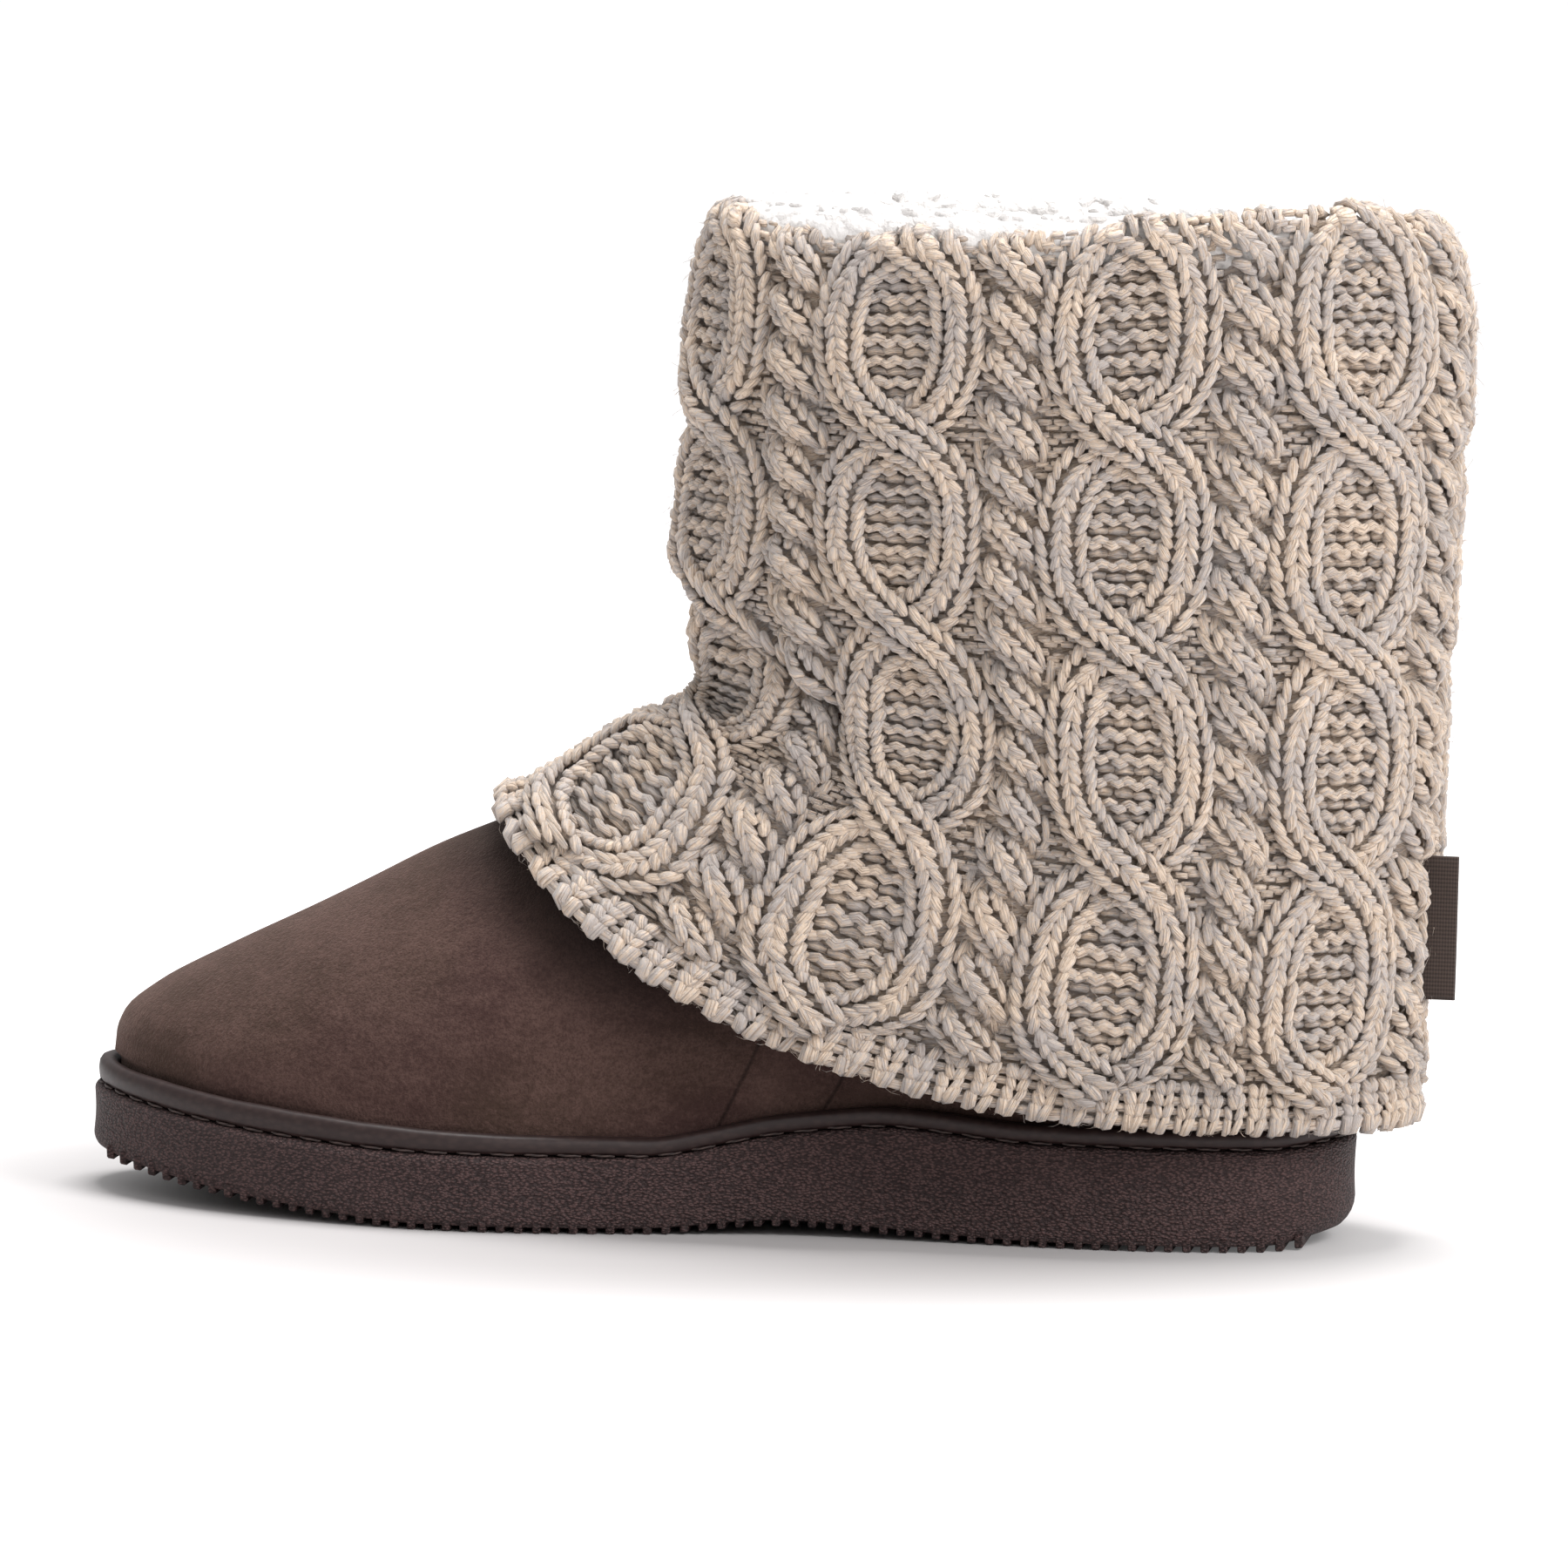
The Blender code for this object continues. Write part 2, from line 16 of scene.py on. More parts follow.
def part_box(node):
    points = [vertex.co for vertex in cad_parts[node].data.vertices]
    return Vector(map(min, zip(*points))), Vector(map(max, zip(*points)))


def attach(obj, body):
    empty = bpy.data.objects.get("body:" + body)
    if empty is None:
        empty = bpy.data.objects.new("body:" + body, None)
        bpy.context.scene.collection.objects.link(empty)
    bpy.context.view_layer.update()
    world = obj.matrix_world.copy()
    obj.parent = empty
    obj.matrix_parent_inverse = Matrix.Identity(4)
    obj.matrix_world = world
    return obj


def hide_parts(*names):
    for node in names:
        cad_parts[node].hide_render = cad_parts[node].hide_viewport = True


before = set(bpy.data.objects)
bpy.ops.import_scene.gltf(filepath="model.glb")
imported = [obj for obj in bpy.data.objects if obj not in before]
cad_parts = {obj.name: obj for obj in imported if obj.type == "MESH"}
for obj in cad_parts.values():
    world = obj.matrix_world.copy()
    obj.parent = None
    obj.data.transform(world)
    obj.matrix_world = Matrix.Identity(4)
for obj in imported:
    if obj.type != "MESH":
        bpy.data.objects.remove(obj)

log = logging.getLogger("slipper_boot")
Colour = tuple[float, float, float]
TAU = 2.0 * math.pi
MM = 0.001


class Slot(Enum):
    """The record's material slots."""

    SOLE = "sole_rubber"
    WELT = "welt_rubber"
    SUEDE = "suede"
    FLEECE = "fleece"
    KNIT = "knit"
    TAPE = "woven_tape"


class Node(Enum):
    """The solids that finer pieces stand for."""

    OUTSOLE = "outsole"
    WELT = "welt"
    UPPER = "upper"
    INSOLE = "insole"
    CUFF = "knit_cuff"
    TAG = "back_tag"


class Seed(IntEnum):
    """Starts of the random draws. Laid yarn draws its tones from the number after its own."""

    WELT_STITCHES = 11
    CURLS = 41
    CURLS_LAID = 43
    FIRST_STRANDS = 101
    SECOND_STRANDS = 102
    ROPES = 103
    GARTER = 107
    PURL = 109
    HEM = 113
    FUZZ = 131
    FUZZ_LAID = 137


def hermite(xs: np.ndarray, ys: np.ndarray, at: np.ndarray) -> np.ndarray:
    """Interpolate without overshoot.

    Args:
        xs: Places of the known values, rising.
        ys: The known values.
        at: Places to read.

    Returns:
        The values of a cubic through the points with limited slopes.
    """
    xs, ys = np.asarray(xs, float), np.asarray(ys, float)
    steps = np.diff(xs)
    rises = np.diff(ys) / steps
    slopes = np.zeros(len(xs))
    slopes[0], slopes[-1] = rises[0], rises[-1]
    for i in range(1, len(xs) - 1):
        if rises[i - 1] * rises[i] > 0:
            slopes[i] = 2.0 * rises[i - 1] * rises[i] / (rises[i - 1] + rises[i])
    at = np.clip(np.asarray(at, float), xs[0], xs[-1])
    i = np.clip(np.searchsorted(xs, at, side="right") - 1, 0, len(xs) - 2)
    t = (at - xs[i]) / steps[i]
    start = (1 + 2 * t) * (1 - t) ** 2 * ys[i] + t * (1 - t) ** 2 * steps[i] * slopes[i]
    end = t * t * (3 - 2 * t) * ys[i + 1] + t * t * (t - 1) * steps[i] * slopes[i + 1]
    return start + end


@dataclass(frozen=True)
class Table:
    """Known values in named columns, the first of which holds their places."""

    columns: tuple[str, ...]
    rows: tuple[tuple[float, ...], ...]

    def read(self, column: str, at: np.ndarray) -> np.ndarray:
        """The smooth curve through one column, at places along the first."""
        k = self.columns.index(column)
        return hermite([row[0] for row in self.rows], [row[k] for row in self.rows], at)

    def at(self, place: float) -> dict[str, float]:
        """All the values at one place."""
        return {name: float(self.read(name, place)) for name in self.columns[1:]}


def roundness(share: np.ndarray) -> np.ndarray:
    """How full an oval is at a share of its length: 0 at both ends and 1 in the middle."""
    return 2.0 * np.sqrt(np.clip(share * (1.0 - share), 0.0, None))


def smooth(low: float, high: float, at: np.ndarray) -> np.ndarray:
    """A soft step from 0 at low to 1 at high."""
    t = np.clip((np.asarray(at, float) - low) / (high - low), 0.0, 1.0)
    return t * t * (3.0 - 2.0 * t)


def unit(vectors: np.ndarray) -> np.ndarray:
    """The vectors at length 1."""
    return vectors / np.maximum(np.linalg.norm(vectors, axis=-1, keepdims=True), 1e-12)


def lumps(points: np.ndarray, size: float, seed: float) -> np.ndarray:
    """Soft random lumps between -1 and 1 at points in space.

    Args:
        points: The places, with x, y and z in the last axis.
        size: About how far it is from one lump to the next.
        seed: Moves the pattern, so that two uses differ.

    Returns:
        One value for each place.
    """
    flat = points.reshape(-1, 3) / size + seed
    values = [noise.noise(Vector(point)) for point in flat]
    return np.array(values).reshape(points.shape[:-1])


# Level rings of the upper, in shares of the shaft's height and the sole's length
UPPER_RINGS = Table(("height", "back", "front", "shaft", "peak", "follow"), (
    (0.133, 0.1165, -0.8530, 0.00, 0.00, 0.98),
    (0.155, 0.1190, -0.8520, 0.02, 0.00, 0.95),
    (0.178, 0.1205, -0.8450, 0.05, 0.02, 0.90),
    (0.207, 0.1215, -0.8180, 0.10, 0.05, 0.80),
    (0.246, 0.1230, -0.7630, 0.18, 0.09, 0.65),
    (0.284, 0.1255, -0.7075, 0.27, 0.14, 0.50),
    (0.322, 0.1285, -0.6525, 0.37, 0.20, 0.35),
    (0.359, 0.1320, -0.5980, 0.47, 0.26, 0.20),
    (0.391, 0.1360, -0.5440, 0.56, 0.28, 0.10),
    (0.424, 0.1415, -0.4900, 0.66, 0.25, 0.00),
    (0.454, 0.1455, -0.4460, 0.75, 0.20, 0.00),
    (0.483, 0.1490, -0.4110, 0.83, 0.14, 0.00),
    (0.511, 0.1520, -0.3790, 0.90, 0.09, 0.00),
    (0.546, 0.1560, -0.3640, 0.96, 0.04, 0.00),
    (0.610, 0.1610, -0.3580, 1.00, 0.00, 0.00),
    (0.710, 0.1665, -0.3650, 1.00, 0.00, 0.00),
    (0.820, 0.1700, -0.3720, 1.00, 0.00, 0.00),
    (1.000, 0.1735, -0.3760, 1.00, 0.00, 0.00),
))

# Rings of the cuff between its rim and its hem
CUFF_RINGS = Table(("run", "back", "back_height", "front", "front_height", "waist", "heel",
                    "instep", "lift"), (
    (0.00, 0.1900, 1.029, -0.3915, 1.017, 0.965, 1.00, 0.98, 1.0),
    (0.05, 0.1925, 0.985, -0.3950, 0.972, 0.975, 1.02, 1.00, 1.0),
    (0.15, 0.1950, 0.889, -0.4010, 0.889, 0.985, 1.04, 1.02, 1.0),
    (0.30, 0.1905, 0.751, -0.4030, 0.763, 0.995, 1.05, 1.02, 1.0),
    (0.40, 0.1870, 0.659, -0.4050, 0.686, 1.005, 1.05, 1.02, 1.1),
    (0.50, 0.1855, 0.568, -0.3940, 0.604, 1.010, 1.06, 1.02, 1.4),
    (0.58, 0.1835, 0.493, -0.3835, 0.546, 1.020, 1.08, 1.06, 1.8),
    (0.66, 0.1815, 0.420, -0.3930, 0.522, 1.040, 1.10, 1.14, 2.2),
    (0.76, 0.1760, 0.329, -0.4330, 0.500, 1.060, 1.14, 1.28, 2.7),
    (0.88, 0.1730, 0.217, -0.4950, 0.446, 1.070, 1.18, 1.45, 3.1),
    (1.00, 0.1770, 0.125, -0.5460, 0.416, 1.075, 1.20, 1.72, 3.3),
))

# How far the cuff's rim rises, by the share of the way from its back to its front
RIM_RISES = Table(("share", "rise"), (
    (0.00, 0.0),
    (0.08, 0.00120),
    (0.16, 0.00200),
    (0.25, 0.00160),
    (0.36, -0.00048),
    (0.46, -0.00240),
    (0.60, -0.00384),
    (0.72, -0.00480),
    (0.82, -0.00432),
    (0.92, -0.00240),
    (1.00, 0.0),
))

# How far the cuff's columns are drawn back at the hem: all the way down, and low down
SPREADS = Table(("share", "drawn", "late"), (
    (0.000, 0.000, 0.000),
    (0.174, 0.005, 0.026),
    (0.424, 0.020, 0.074),
    (0.674, 0.054, 0.050),
    (0.875, 0.062, 0.024),
    (1.000, 0.000, 0.000),
))


@dataclass(frozen=True)
class ShoeForm:
    """The sizes and sections that the pieces share, the same as the solids have."""

    fit_gap: float = 0.0003
    length: float = 0.268
    heel_overrun: float = 0.0355
    heel_breadth: float = 0.066
    waist_breadth: float = 0.063
    ball_breadth: float = 0.094
    toe_breadth: float = 0.081
    heel_end_radius: float = 0.0300
    toe_end_radius: float = 0.0280
    toe_inswing: float = 0.006
    waist_outswing: float = 0.0025
    heel_edge: float = 0.0210
    arch_edge: float = 0.0222
    ball_edge: float = 0.0158
    toe_edge: float = 0.0138
    heel_bevel: float = 0.0016
    arch_lift: float = 0.0021
    toe_spring: float = 0.0078
    welt_height: float = 0.0054
    welt_breadth: float = 0.0044
    welt_setback: float = 0.0007
    upper_wall: float = 0.0024
    shaft_height: float = 0.207
    shaft_breadth: float = 0.0750
    ridge_power: int = 4

    def heights(self) -> Table:
        """The underside's lifts and the side wall's heights by share of the sole's length."""
        return Table(("share", "lift", "edge"), (
            (0.00, self.heel_bevel, self.heel_edge),
            (0.06, 0.0, self.heel_edge),
            (0.24, 0.0, self.heel_edge + 0.2 * (self.arch_edge - self.heel_edge)),
            (0.34, 0.5 * self.arch_lift, self.arch_edge),
            (0.43, self.arch_lift, 0.5 * (self.arch_edge + self.ball_edge)),
            (0.54, 0.0, self.ball_edge),
            (0.70, 0.0, self.ball_edge),
            (0.84, 0.33 * self.toe_spring, 0.5 * (self.ball_edge + self.toe_edge)),
            (1.00, self.toe_spring, self.toe_edge),
        ))

    def plan_rows(self) -> tuple[tuple[float, float, float], ...]:
        """Shares of the sole's length, with its breadth and its middle's swing there."""
        return (
            (0.14, self.heel_breadth, 0.0),
            (0.40, self.waist_breadth, -self.waist_outswing),
            (0.68, self.ball_breadth, -1.2 * self.waist_outswing),
            (0.85, self.toe_breadth, 0.17 * self.toe_inswing),
        )

    def outline(self, steps: int, inset: float = 0.0) -> np.ndarray:
        """Plan of the sole, from the heel round the lateral side to the toe and back.

        Args:
            steps: Points round it.
            inset: How far it is moved in.

        Returns:
            The points' x and y.
        """
        turn = TAU * np.arange(steps) / steps
        share = (1.0 - np.cos(turn)) / 2.0
        side = -np.sign(np.sin(turn))
        rows = self.plan_rows()
        heel = math.sqrt(self.heel_end_radius * self.length / 2.0)
        toe = math.sqrt(self.toe_end_radius * self.length / 2.0)
        xs = np.array([0.0, *(share for share, _, _ in rows), 1.0])
        full = [heel, *(breadth / 2.0 / roundness(at) for at, breadth, _ in rows), toe]
        swing = [0.0, *(swing for _, _, swing in rows), self.toe_inswing]
        x = self.heel_overrun - self.length * share
        y = side * hermite(xs, full, share) * roundness(share) + hermite(xs, swing, share)
        plan = np.stack([x, y], axis=1)
        return plan + inset * self.inward(plan)

    @staticmethod
    def inward(plan: np.ndarray) -> np.ndarray:
        """Level directions into a closed plan, one for each of its points."""
        along = unit(np.roll(plan, -1, axis=0) - np.roll(plan, 1, axis=0))
        sideways = np.stack([-along[:, 1], along[:, 0]], axis=1)
        middle = plan.mean(axis=0)
        return sideways * -math.copysign(1.0, float(((plan - middle) * sideways).sum()))

    def bottom(self, x: np.ndarray) -> np.ndarray:
        """Height of the underside at places along the sole."""
        return self.heights().read("lift", (self.heel_overrun - x) / self.length)

    def top(self, x: np.ndarray) -> np.ndarray:
        """Height of the sole's shoulder at places along it."""
        edge = self.heights().read("edge", (self.heel_overrun - x) / self.length)
        return self.bottom(x) + edge

    def upper_inset(self) -> float:
        """How far inside the sole's outline the upper's outer face meets the sole."""
        return self.welt_setback + self.welt_breadth + self.fit_gap

    def seat(self) -> float:
        """Height of the upper's lowest ring, as a share of the shaft's."""
        return (self.heel_edge + self.fit_gap) / self.shaft_height

    def upper_rings(self) -> Table:
        """The rings of the upper, with the two that stand plumb behind the welt."""
        back = (self.heel_overrun - self.upper_inset()) / self.length
        front = (self.heel_overrun - self.length + self.upper_inset()) / self.length
        bead = self.seat() + (self.welt_height + self.fit_gap) / self.shaft_height
        plumb = ((height, back, front, 0.0, 0.0, 1.0) for height in (self.seat(), bead))
        return Table(UPPER_RINGS.columns, (*plumb, *UPPER_RINGS.rows))

    def upper_ring(self, height: float, steps: int, inset: float = 0.0) -> np.ndarray:
        """One ring of the upper's outer face.

        Args:
            height: The ring's height, as a share of the shaft's.
            steps: Points round it.
            inset: How far it is moved in, level.

        Returns:
            The ring's points.
        """
        back, front, shaft, peak, follow = self.upper_rings().at(height).values()
        foot = self.outline(steps, self.upper_inset())
        seat = self.top(foot[:, 0]) + self.fit_gap
        heel, toe = foot[:, 0].max(), foot[:, 0].min()
        share = (heel - foot[:, 0]) / (heel - toe)
        side = np.sign(foot[:, 1] - share * self.toe_inswing)
        leg = side * roundness(share) * self.shaft_breadth / 2.0
        x = (back - (back - front) * share) * self.length
        y = (foot[:, 1] * (1.0 - shaft) + leg * shaft) * (1.0 - peak * share**self.ridge_power)
        z = height * self.shaft_height + follow * (seat - self.heel_edge - self.fit_gap)
        plan = np.stack([x, y], axis=1)
        return np.column_stack([plan + inset * self.inward(plan), z])


@dataclass(frozen=True)
class Crease:
    """A soft trough or ridge of the cuff, along a line from one place to another.

    Places are a share of the circumference from the back seam and a share of the drop.
    """

    start: tuple[float, float]
    end: tuple[float, float]
    depth: float
    half_width: float

    def push(self, share: np.ndarray, run: np.ndarray, around: float, drop: float) -> np.ndarray:
        """How far the cuff is moved out by this crease, at places on it.

        Args:
            share: Places round the cuff, as shares of its circumference.
            run: Places down it, as shares of its drop.
            around: The circumference.
            drop: The whole drop.

        Returns:
            Metres out, one for each place.
        """
        a = np.array([self.start[0] * around, self.start[1] * drop])
        b = np.array([self.end[0] * around, self.end[1] * drop])
        place = np.stack(np.broadcast_arrays(share * around, run * drop), axis=-1)
        along = b - a
        t = np.clip(((place - a) @ along) / float(along @ along), 0.0, 1.0)
        away = np.linalg.norm(place - a - t[..., None] * along, axis=-1)
        fade = 0.35 + 0.65 * np.sin(math.pi * (0.12 + 0.76 * t))
        return -self.depth * fade * np.exp(-((away / self.half_width) ** 2))


@dataclass
class CuffSurface:
    """The cuff's level surface, on which its yarn is laid by places around it and down it."""

    form: ShoeForm
    breadth: float = 0.0860
    drop: float = 0.1875
    wall: float = 0.0034
    rim_fade: float = 0.4
    far_sink: float = 0.0046
    late_from: float = 0.55
    top: float = 0.0012
    end: float = 0.1845
    rim_draw: float = 0.0018
    back_draw: float = 0.0040
    draw_height: float = 0.0240
    around: float = 0.396
    start: float = 0.00275
    runs: int = 150
    shares: int = 360
    arc_samples: int = 240
    creases: tuple[Crease, ...] = (
        Crease((0.478, 0.462), (0.392, 0.575), 0.0050, 0.0054),
        Crease((0.486, 0.420), (0.402, 0.525), -0.0014, 0.0052),
        Crease((0.405, 0.565), (0.372, 0.640), 0.0022, 0.0060),
        Crease((0.330, 0.420), (0.300, 0.640), 0.0012, 0.0140),
        Crease((0.500, 0.235), (0.430, 0.330), 0.0014, 0.0070),
        Crease((0.165, 0.560), (0.060, 0.720), 0.0014, 0.0120),
        Crease((0.522, 0.462), (0.604, 0.570), 0.0044, 0.0056),
        Crease((0.514, 0.420), (0.590, 0.520), -0.0012, 0.0056),
        Crease((0.700, 0.420), (0.735, 0.660), 0.0014, 0.0140),
        Crease((0.860, 0.300), (0.930, 0.520), 0.0014, 0.0120),
    )

    def __post_init__(self) -> None:
        """Work the surface out on a grid of runs and shares, with its normals."""
        self.reach = self.wall / 2.0
        run = np.linspace(0.0, 1.0, self.runs + 1)
        share = np.arange(self.shares + 1) / self.shares
        level = np.stack([self.ring(r, share) for r in run])
        out = sum(
            crease.push(share[None, :], run[:, None], self.around, self.drop)
            for crease in self.creases
        )
        behind = (0.5 + 0.5 * np.cos(TAU * share[None, :])) ** 3
        drawn = self.rim_draw + (self.back_draw - self.rim_draw) * behind
        near_rim = np.clip(1.0 - run[:, None] * self.drop / self.draw_height, 0.0, 1.0) ** 2
        normal = self.normals(level)
        self.points = level + normal * (out - drawn * near_rim)[..., None]
        self.normal = self.normals(self.points)
        self.rim_way = -unit(self.points[1] - self.points[0])
        self.hem_way = unit(self.points[-1] - self.points[-2])

    def ring(self, run: float, shares: np.ndarray) -> np.ndarray:
        """Points of the level surface at one run, at shares of its circumference.

        Args:
            run: The ring's place, as a share of the drop.
            shares: Places round it, from the back seam.

        Returns:
            The ring's points.
        """
        row = CUFF_RINGS.at(run)
        turn = math.pi * np.arange(self.arc_samples + 1) / self.arc_samples
        share = (1.0 - np.cos(turn)) / 2.0
        back, front = row["back"] * self.form.length, row["front"] * self.form.length
        ends = [row["heel"], row["waist"], row["instep"]]
        full = hermite([0.0, 0.5, 1.0], ends, share) * self.breadth / 2.0
        low = row["back_height"] * self.form.shaft_height
        high = row["front_height"] * self.form.shaft_height
        rise = RIM_RISES.read("rise", share) * max(0.0, 1.0 - run / self.rim_fade)
        x = back - (back - front) * share
        y = -full * roundness(share)
        z = low + (high - low) * share ** row["lift"] + rise
        steps = np.sqrt(np.diff(x) ** 2 + np.diff(y) ** 2 + np.diff(z) ** 2)
        walked = np.concatenate([[0.0], np.cumsum(steps)])
        far_side = shares > 0.5
        half = np.where(far_side, 2.0 - 2.0 * shares, 2.0 * shares)
        late = float(smooth(self.late_from, 1.0, run))
        drawn = run * SPREADS.read("drawn", half) + late * SPREADS.read("late", half)
        places = (half - drawn) * walked[-1]
        points = np.column_stack([np.interp(places, walked, column) for column in (x, y, z)])
        points[far_side, 1] *= -1.0
        sunk = self.far_sink * roundness(half) * max(0.0, 1.0 - run / self.rim_fade)
        points[far_side, 2] -= sunk[far_side]
        return points

    @staticmethod
    def normals(points: np.ndarray) -> np.ndarray:
        """Outward directions on a grid whose last column is its first again."""
        ringed = np.concatenate([points[:, -2:-1], points, points[:, 1:2]], axis=1)
        around = ringed[:, 2:] - ringed[:, :-2]
        down = np.gradient(points, axis=0)
        return unit(np.cross(around, down))

    def sample(self, grid: np.ndarray, share: np.ndarray, run: np.ndarray) -> np.ndarray:
        """Read a grid between its points.

        Args:
            grid: Vectors by run and share.
            share: Places round the cuff.
            run: Places down it.

        Returns:
            One vector for each place.
        """
        s = (share % 1.0) * self.shares
        r = np.clip(run, 0.0, 1.0) * self.runs
        i = np.minimum(s.astype(int), self.shares - 1)
        j = np.minimum(r.astype(int), self.runs - 1)
        a, b = (s - i)[..., None], (r - j)[..., None]
        above = grid[j, i] * (1 - a) + grid[j, i + 1] * a
        below = grid[j + 1, i] * (1 - a) + grid[j + 1, i + 1] * a
        return above * (1 - b) + below * b

    def place(self, around: np.ndarray, drop: np.ndarray, out: np.ndarray) -> np.ndarray:
        """Where a place on the cuff lies in space.

        Past the rim and the hem, the surface rolls over the wall's edge to its inner face.

        Args:
            around: Metres from the start of the first knitted unit, towards the toe.
            drop: Metres below the rim.
            out: Metres out of the surface.

        Returns:
            The points.
        """
        share = (self.start + around) / self.around
        run = np.clip(drop, self.top, self.end) / self.drop
        point = self.sample(self.points, share, run)
        normal = unit(self.sample(self.normal, share, run))
        over = np.where(drop < self.top, self.top - drop, np.maximum(drop - self.end, 0.0))
        edge = np.where(drop[..., None] < self.top, self.sample_edge(self.rim_way, share),
                        self.sample_edge(self.hem_way, share))
        angle = np.minimum(over / self.reach, math.pi)[..., None]
        way = normal * np.cos(angle) + edge * np.sin(angle)
        return point - normal * self.reach + way * (self.reach + out)[..., None]

    def sample_edge(self, edge: np.ndarray, share: np.ndarray) -> np.ndarray:
        """Read directions along the rim or the hem between their points."""
        s = (share % 1.0) * self.shares
        i = np.minimum(s.astype(int), self.shares - 1)
        a = (s - i)[..., None]
        return edge[i] * (1 - a) + edge[i + 1] * a


class Workbench:
    """Makes meshes with Blender's own operators and puts them in the scene."""

    @staticmethod
    def clear_selection() -> None:
        """Leave nothing selected, so that an operator acts on one piece."""
        for obj in bpy.context.selected_objects:
            obj.select_set(False)

    @classmethod
    def pick(cls, obj: bpy.types.Object) -> None:
        """Select one piece alone and make it active."""
        cls.clear_selection()
        obj.select_set(True)
        bpy.context.view_layer.objects.active = obj

    @classmethod
    def edit(cls, obj: bpy.types.Object, *steps: Callable[[], object]) -> None:
        """Run operators on all of a piece in edit mode.

        Args:
            obj: The piece.
            *steps: Calls of the operators, in order.
        """
        cls.pick(obj)
        bpy.ops.object.mode_set(mode="EDIT")
        bpy.ops.mesh.select_all(action="SELECT")
        for step in steps:
            step()
        bpy.ops.object.mode_set(mode="OBJECT")

    @classmethod
    def sheet(cls, name: str, points: np.ndarray, looped: bool = False) -> bpy.types.Object:
        """Make a grid primitive and give it its places.

        Args:
            name: The piece's name.
            points: Places by row and column. Each row closes on itself.
            looped: Whether the last row meets the first.

        Returns:
            The piece, smooth, with its faces pointing out where it is closed.
        """
        points = np.concatenate([points, points[:, :1]], axis=1)
        if looped:
            points = np.concatenate([points, points[:1]], axis=0)
        rows, columns = points.shape[:2]
        cls.clear_selection()
        bpy.ops.mesh.primitive_grid_add(x_subdivisions=columns - 1, y_subdivisions=rows - 1)
        obj = bpy.context.active_object
        obj.name = obj.data.name = name
        mesh = obj.data
        mesh.vertices.foreach_set("co", points.astype(np.float32).reshape(-1))
        uv = cls.walked(points)
        corners = np.empty(len(mesh.loops), dtype=np.int32)
        mesh.loops.foreach_get("vertex_index", corners)
        layer = mesh.uv_layers[0]
        layer.data.foreach_set("uv", uv.reshape(-1, 2)[corners].astype(np.float32).reshape(-1))
        mesh.update()
        cls.edit(
            obj,
            lambda: bpy.ops.mesh.remove_doubles(threshold=1e-6),
            lambda: bpy.ops.mesh.normals_make_consistent(inside=False),
        )
        mesh.shade_smooth()
        return obj

    @staticmethod
    def walked(points: np.ndarray) -> np.ndarray:
        """Pattern coordinates in metres, walked along a grid's rows and columns."""
        across = np.linalg.norm(np.diff(points, axis=1), axis=2).mean(axis=0)
        down = np.linalg.norm(np.diff(points, axis=0), axis=2).mean(axis=1)
        u = np.concatenate([[0.0], np.cumsum(across)])
        v = np.concatenate([[0.0], np.cumsum(down)])
        return np.stack(np.meshgrid(u, v), axis=-1)

    @classmethod
    def thread(cls, segments: int, rings: int) -> "Template":
        """Model one plump bit of yarn from a sphere, to be copied along a line.

        Args:
            segments: Faces round it.
            rings: Faces along it.

        Returns:
            The bit of yarn.
        """
        cls.clear_selection()
        bpy.ops.mesh.primitive_uv_sphere_add(segments=segments, ring_count=rings, radius=1.0)
        obj = bpy.context.active_object
        mesh = obj.data
        co = np.array([v.co for v in mesh.vertices])
        radial = np.hypot(co[:, 0], co[:, 1])
        angle = np.arctan2(co[:, 1], co[:, 0])
        uv = np.array([corner.uv for corner in mesh.uv_layers[0].data])
        corners = np.array([loop.vertex_index for loop in mesh.loops])
        sizes = np.array([face.loop_total for face in mesh.polygons])
        bpy.data.objects.remove(obj, do_unlink=True)
        return Template((co[:, 2] + 1.0) / 2.0, radial, angle, uv, corners, sizes)

    @classmethod
    def lay(cls, name: str, template: "Template", lines: "Lines",
            place: Callable[..., np.ndarray]) -> bpy.types.Object:
        """Copy a bit of yarn along many short lines and join the copies.

        Args:
            name: The piece's name.
            template: The bit of yarn.
            lines: Where it is laid, with its thickness.
            place: Turns places around, down and out of a surface into points in space.

        Returns:
            The joined piece, with a pattern along each bit and a tone for each.
        """
        t = template.along[None, :, None]
        a, b, c = (lines.bends[:, None, k] for k in range(3))
        centre = (1 - t) ** 2 * a + 2 * t * (1 - t) * b + t * t * c
        way = unit(2 * (1 - t) * (b - a) + 2 * t * (c - b))
        up = np.array([0.0, 0.0, 1.0])
        side = unit(np.cross(way, up))
        top = unit(np.cross(side, way))
        profile = template.radial[None, :, None] ** lines.fullness
        ring = (lines.thickness[:, None, None] / 2.0) * profile
        turn = template.angle[None, :, None]
        local = centre + ring * (np.cos(turn) * side + lines.flatness * np.sin(turn) * top)
        points = place(local[..., 0], local[..., 1], local[..., 2])
        count, verts = points.shape[:2]
        corners = (template.corners[None, :] + verts * np.arange(count)[:, None]).reshape(-1)
        sizes = np.tile(template.sizes, count)
        starts = np.concatenate([[0], np.cumsum(sizes)[:-1]])
        mesh = bpy.data.meshes.new(name)
        mesh.vertices.add(count * verts)
        mesh.loops.add(len(corners))
        mesh.polygons.add(len(sizes))
        mesh.vertices.foreach_set("co", points.astype(np.float32).reshape(-1))
        mesh.loops.foreach_set("vertex_index", corners.astype(np.int32))
        mesh.polygons.foreach_set("loop_start", starts.astype(np.int32))
        mesh.update(calc_edges=True)
        chord = np.linalg.norm(lines.bends[:, 2] - lines.bends[:, 0], axis=1)
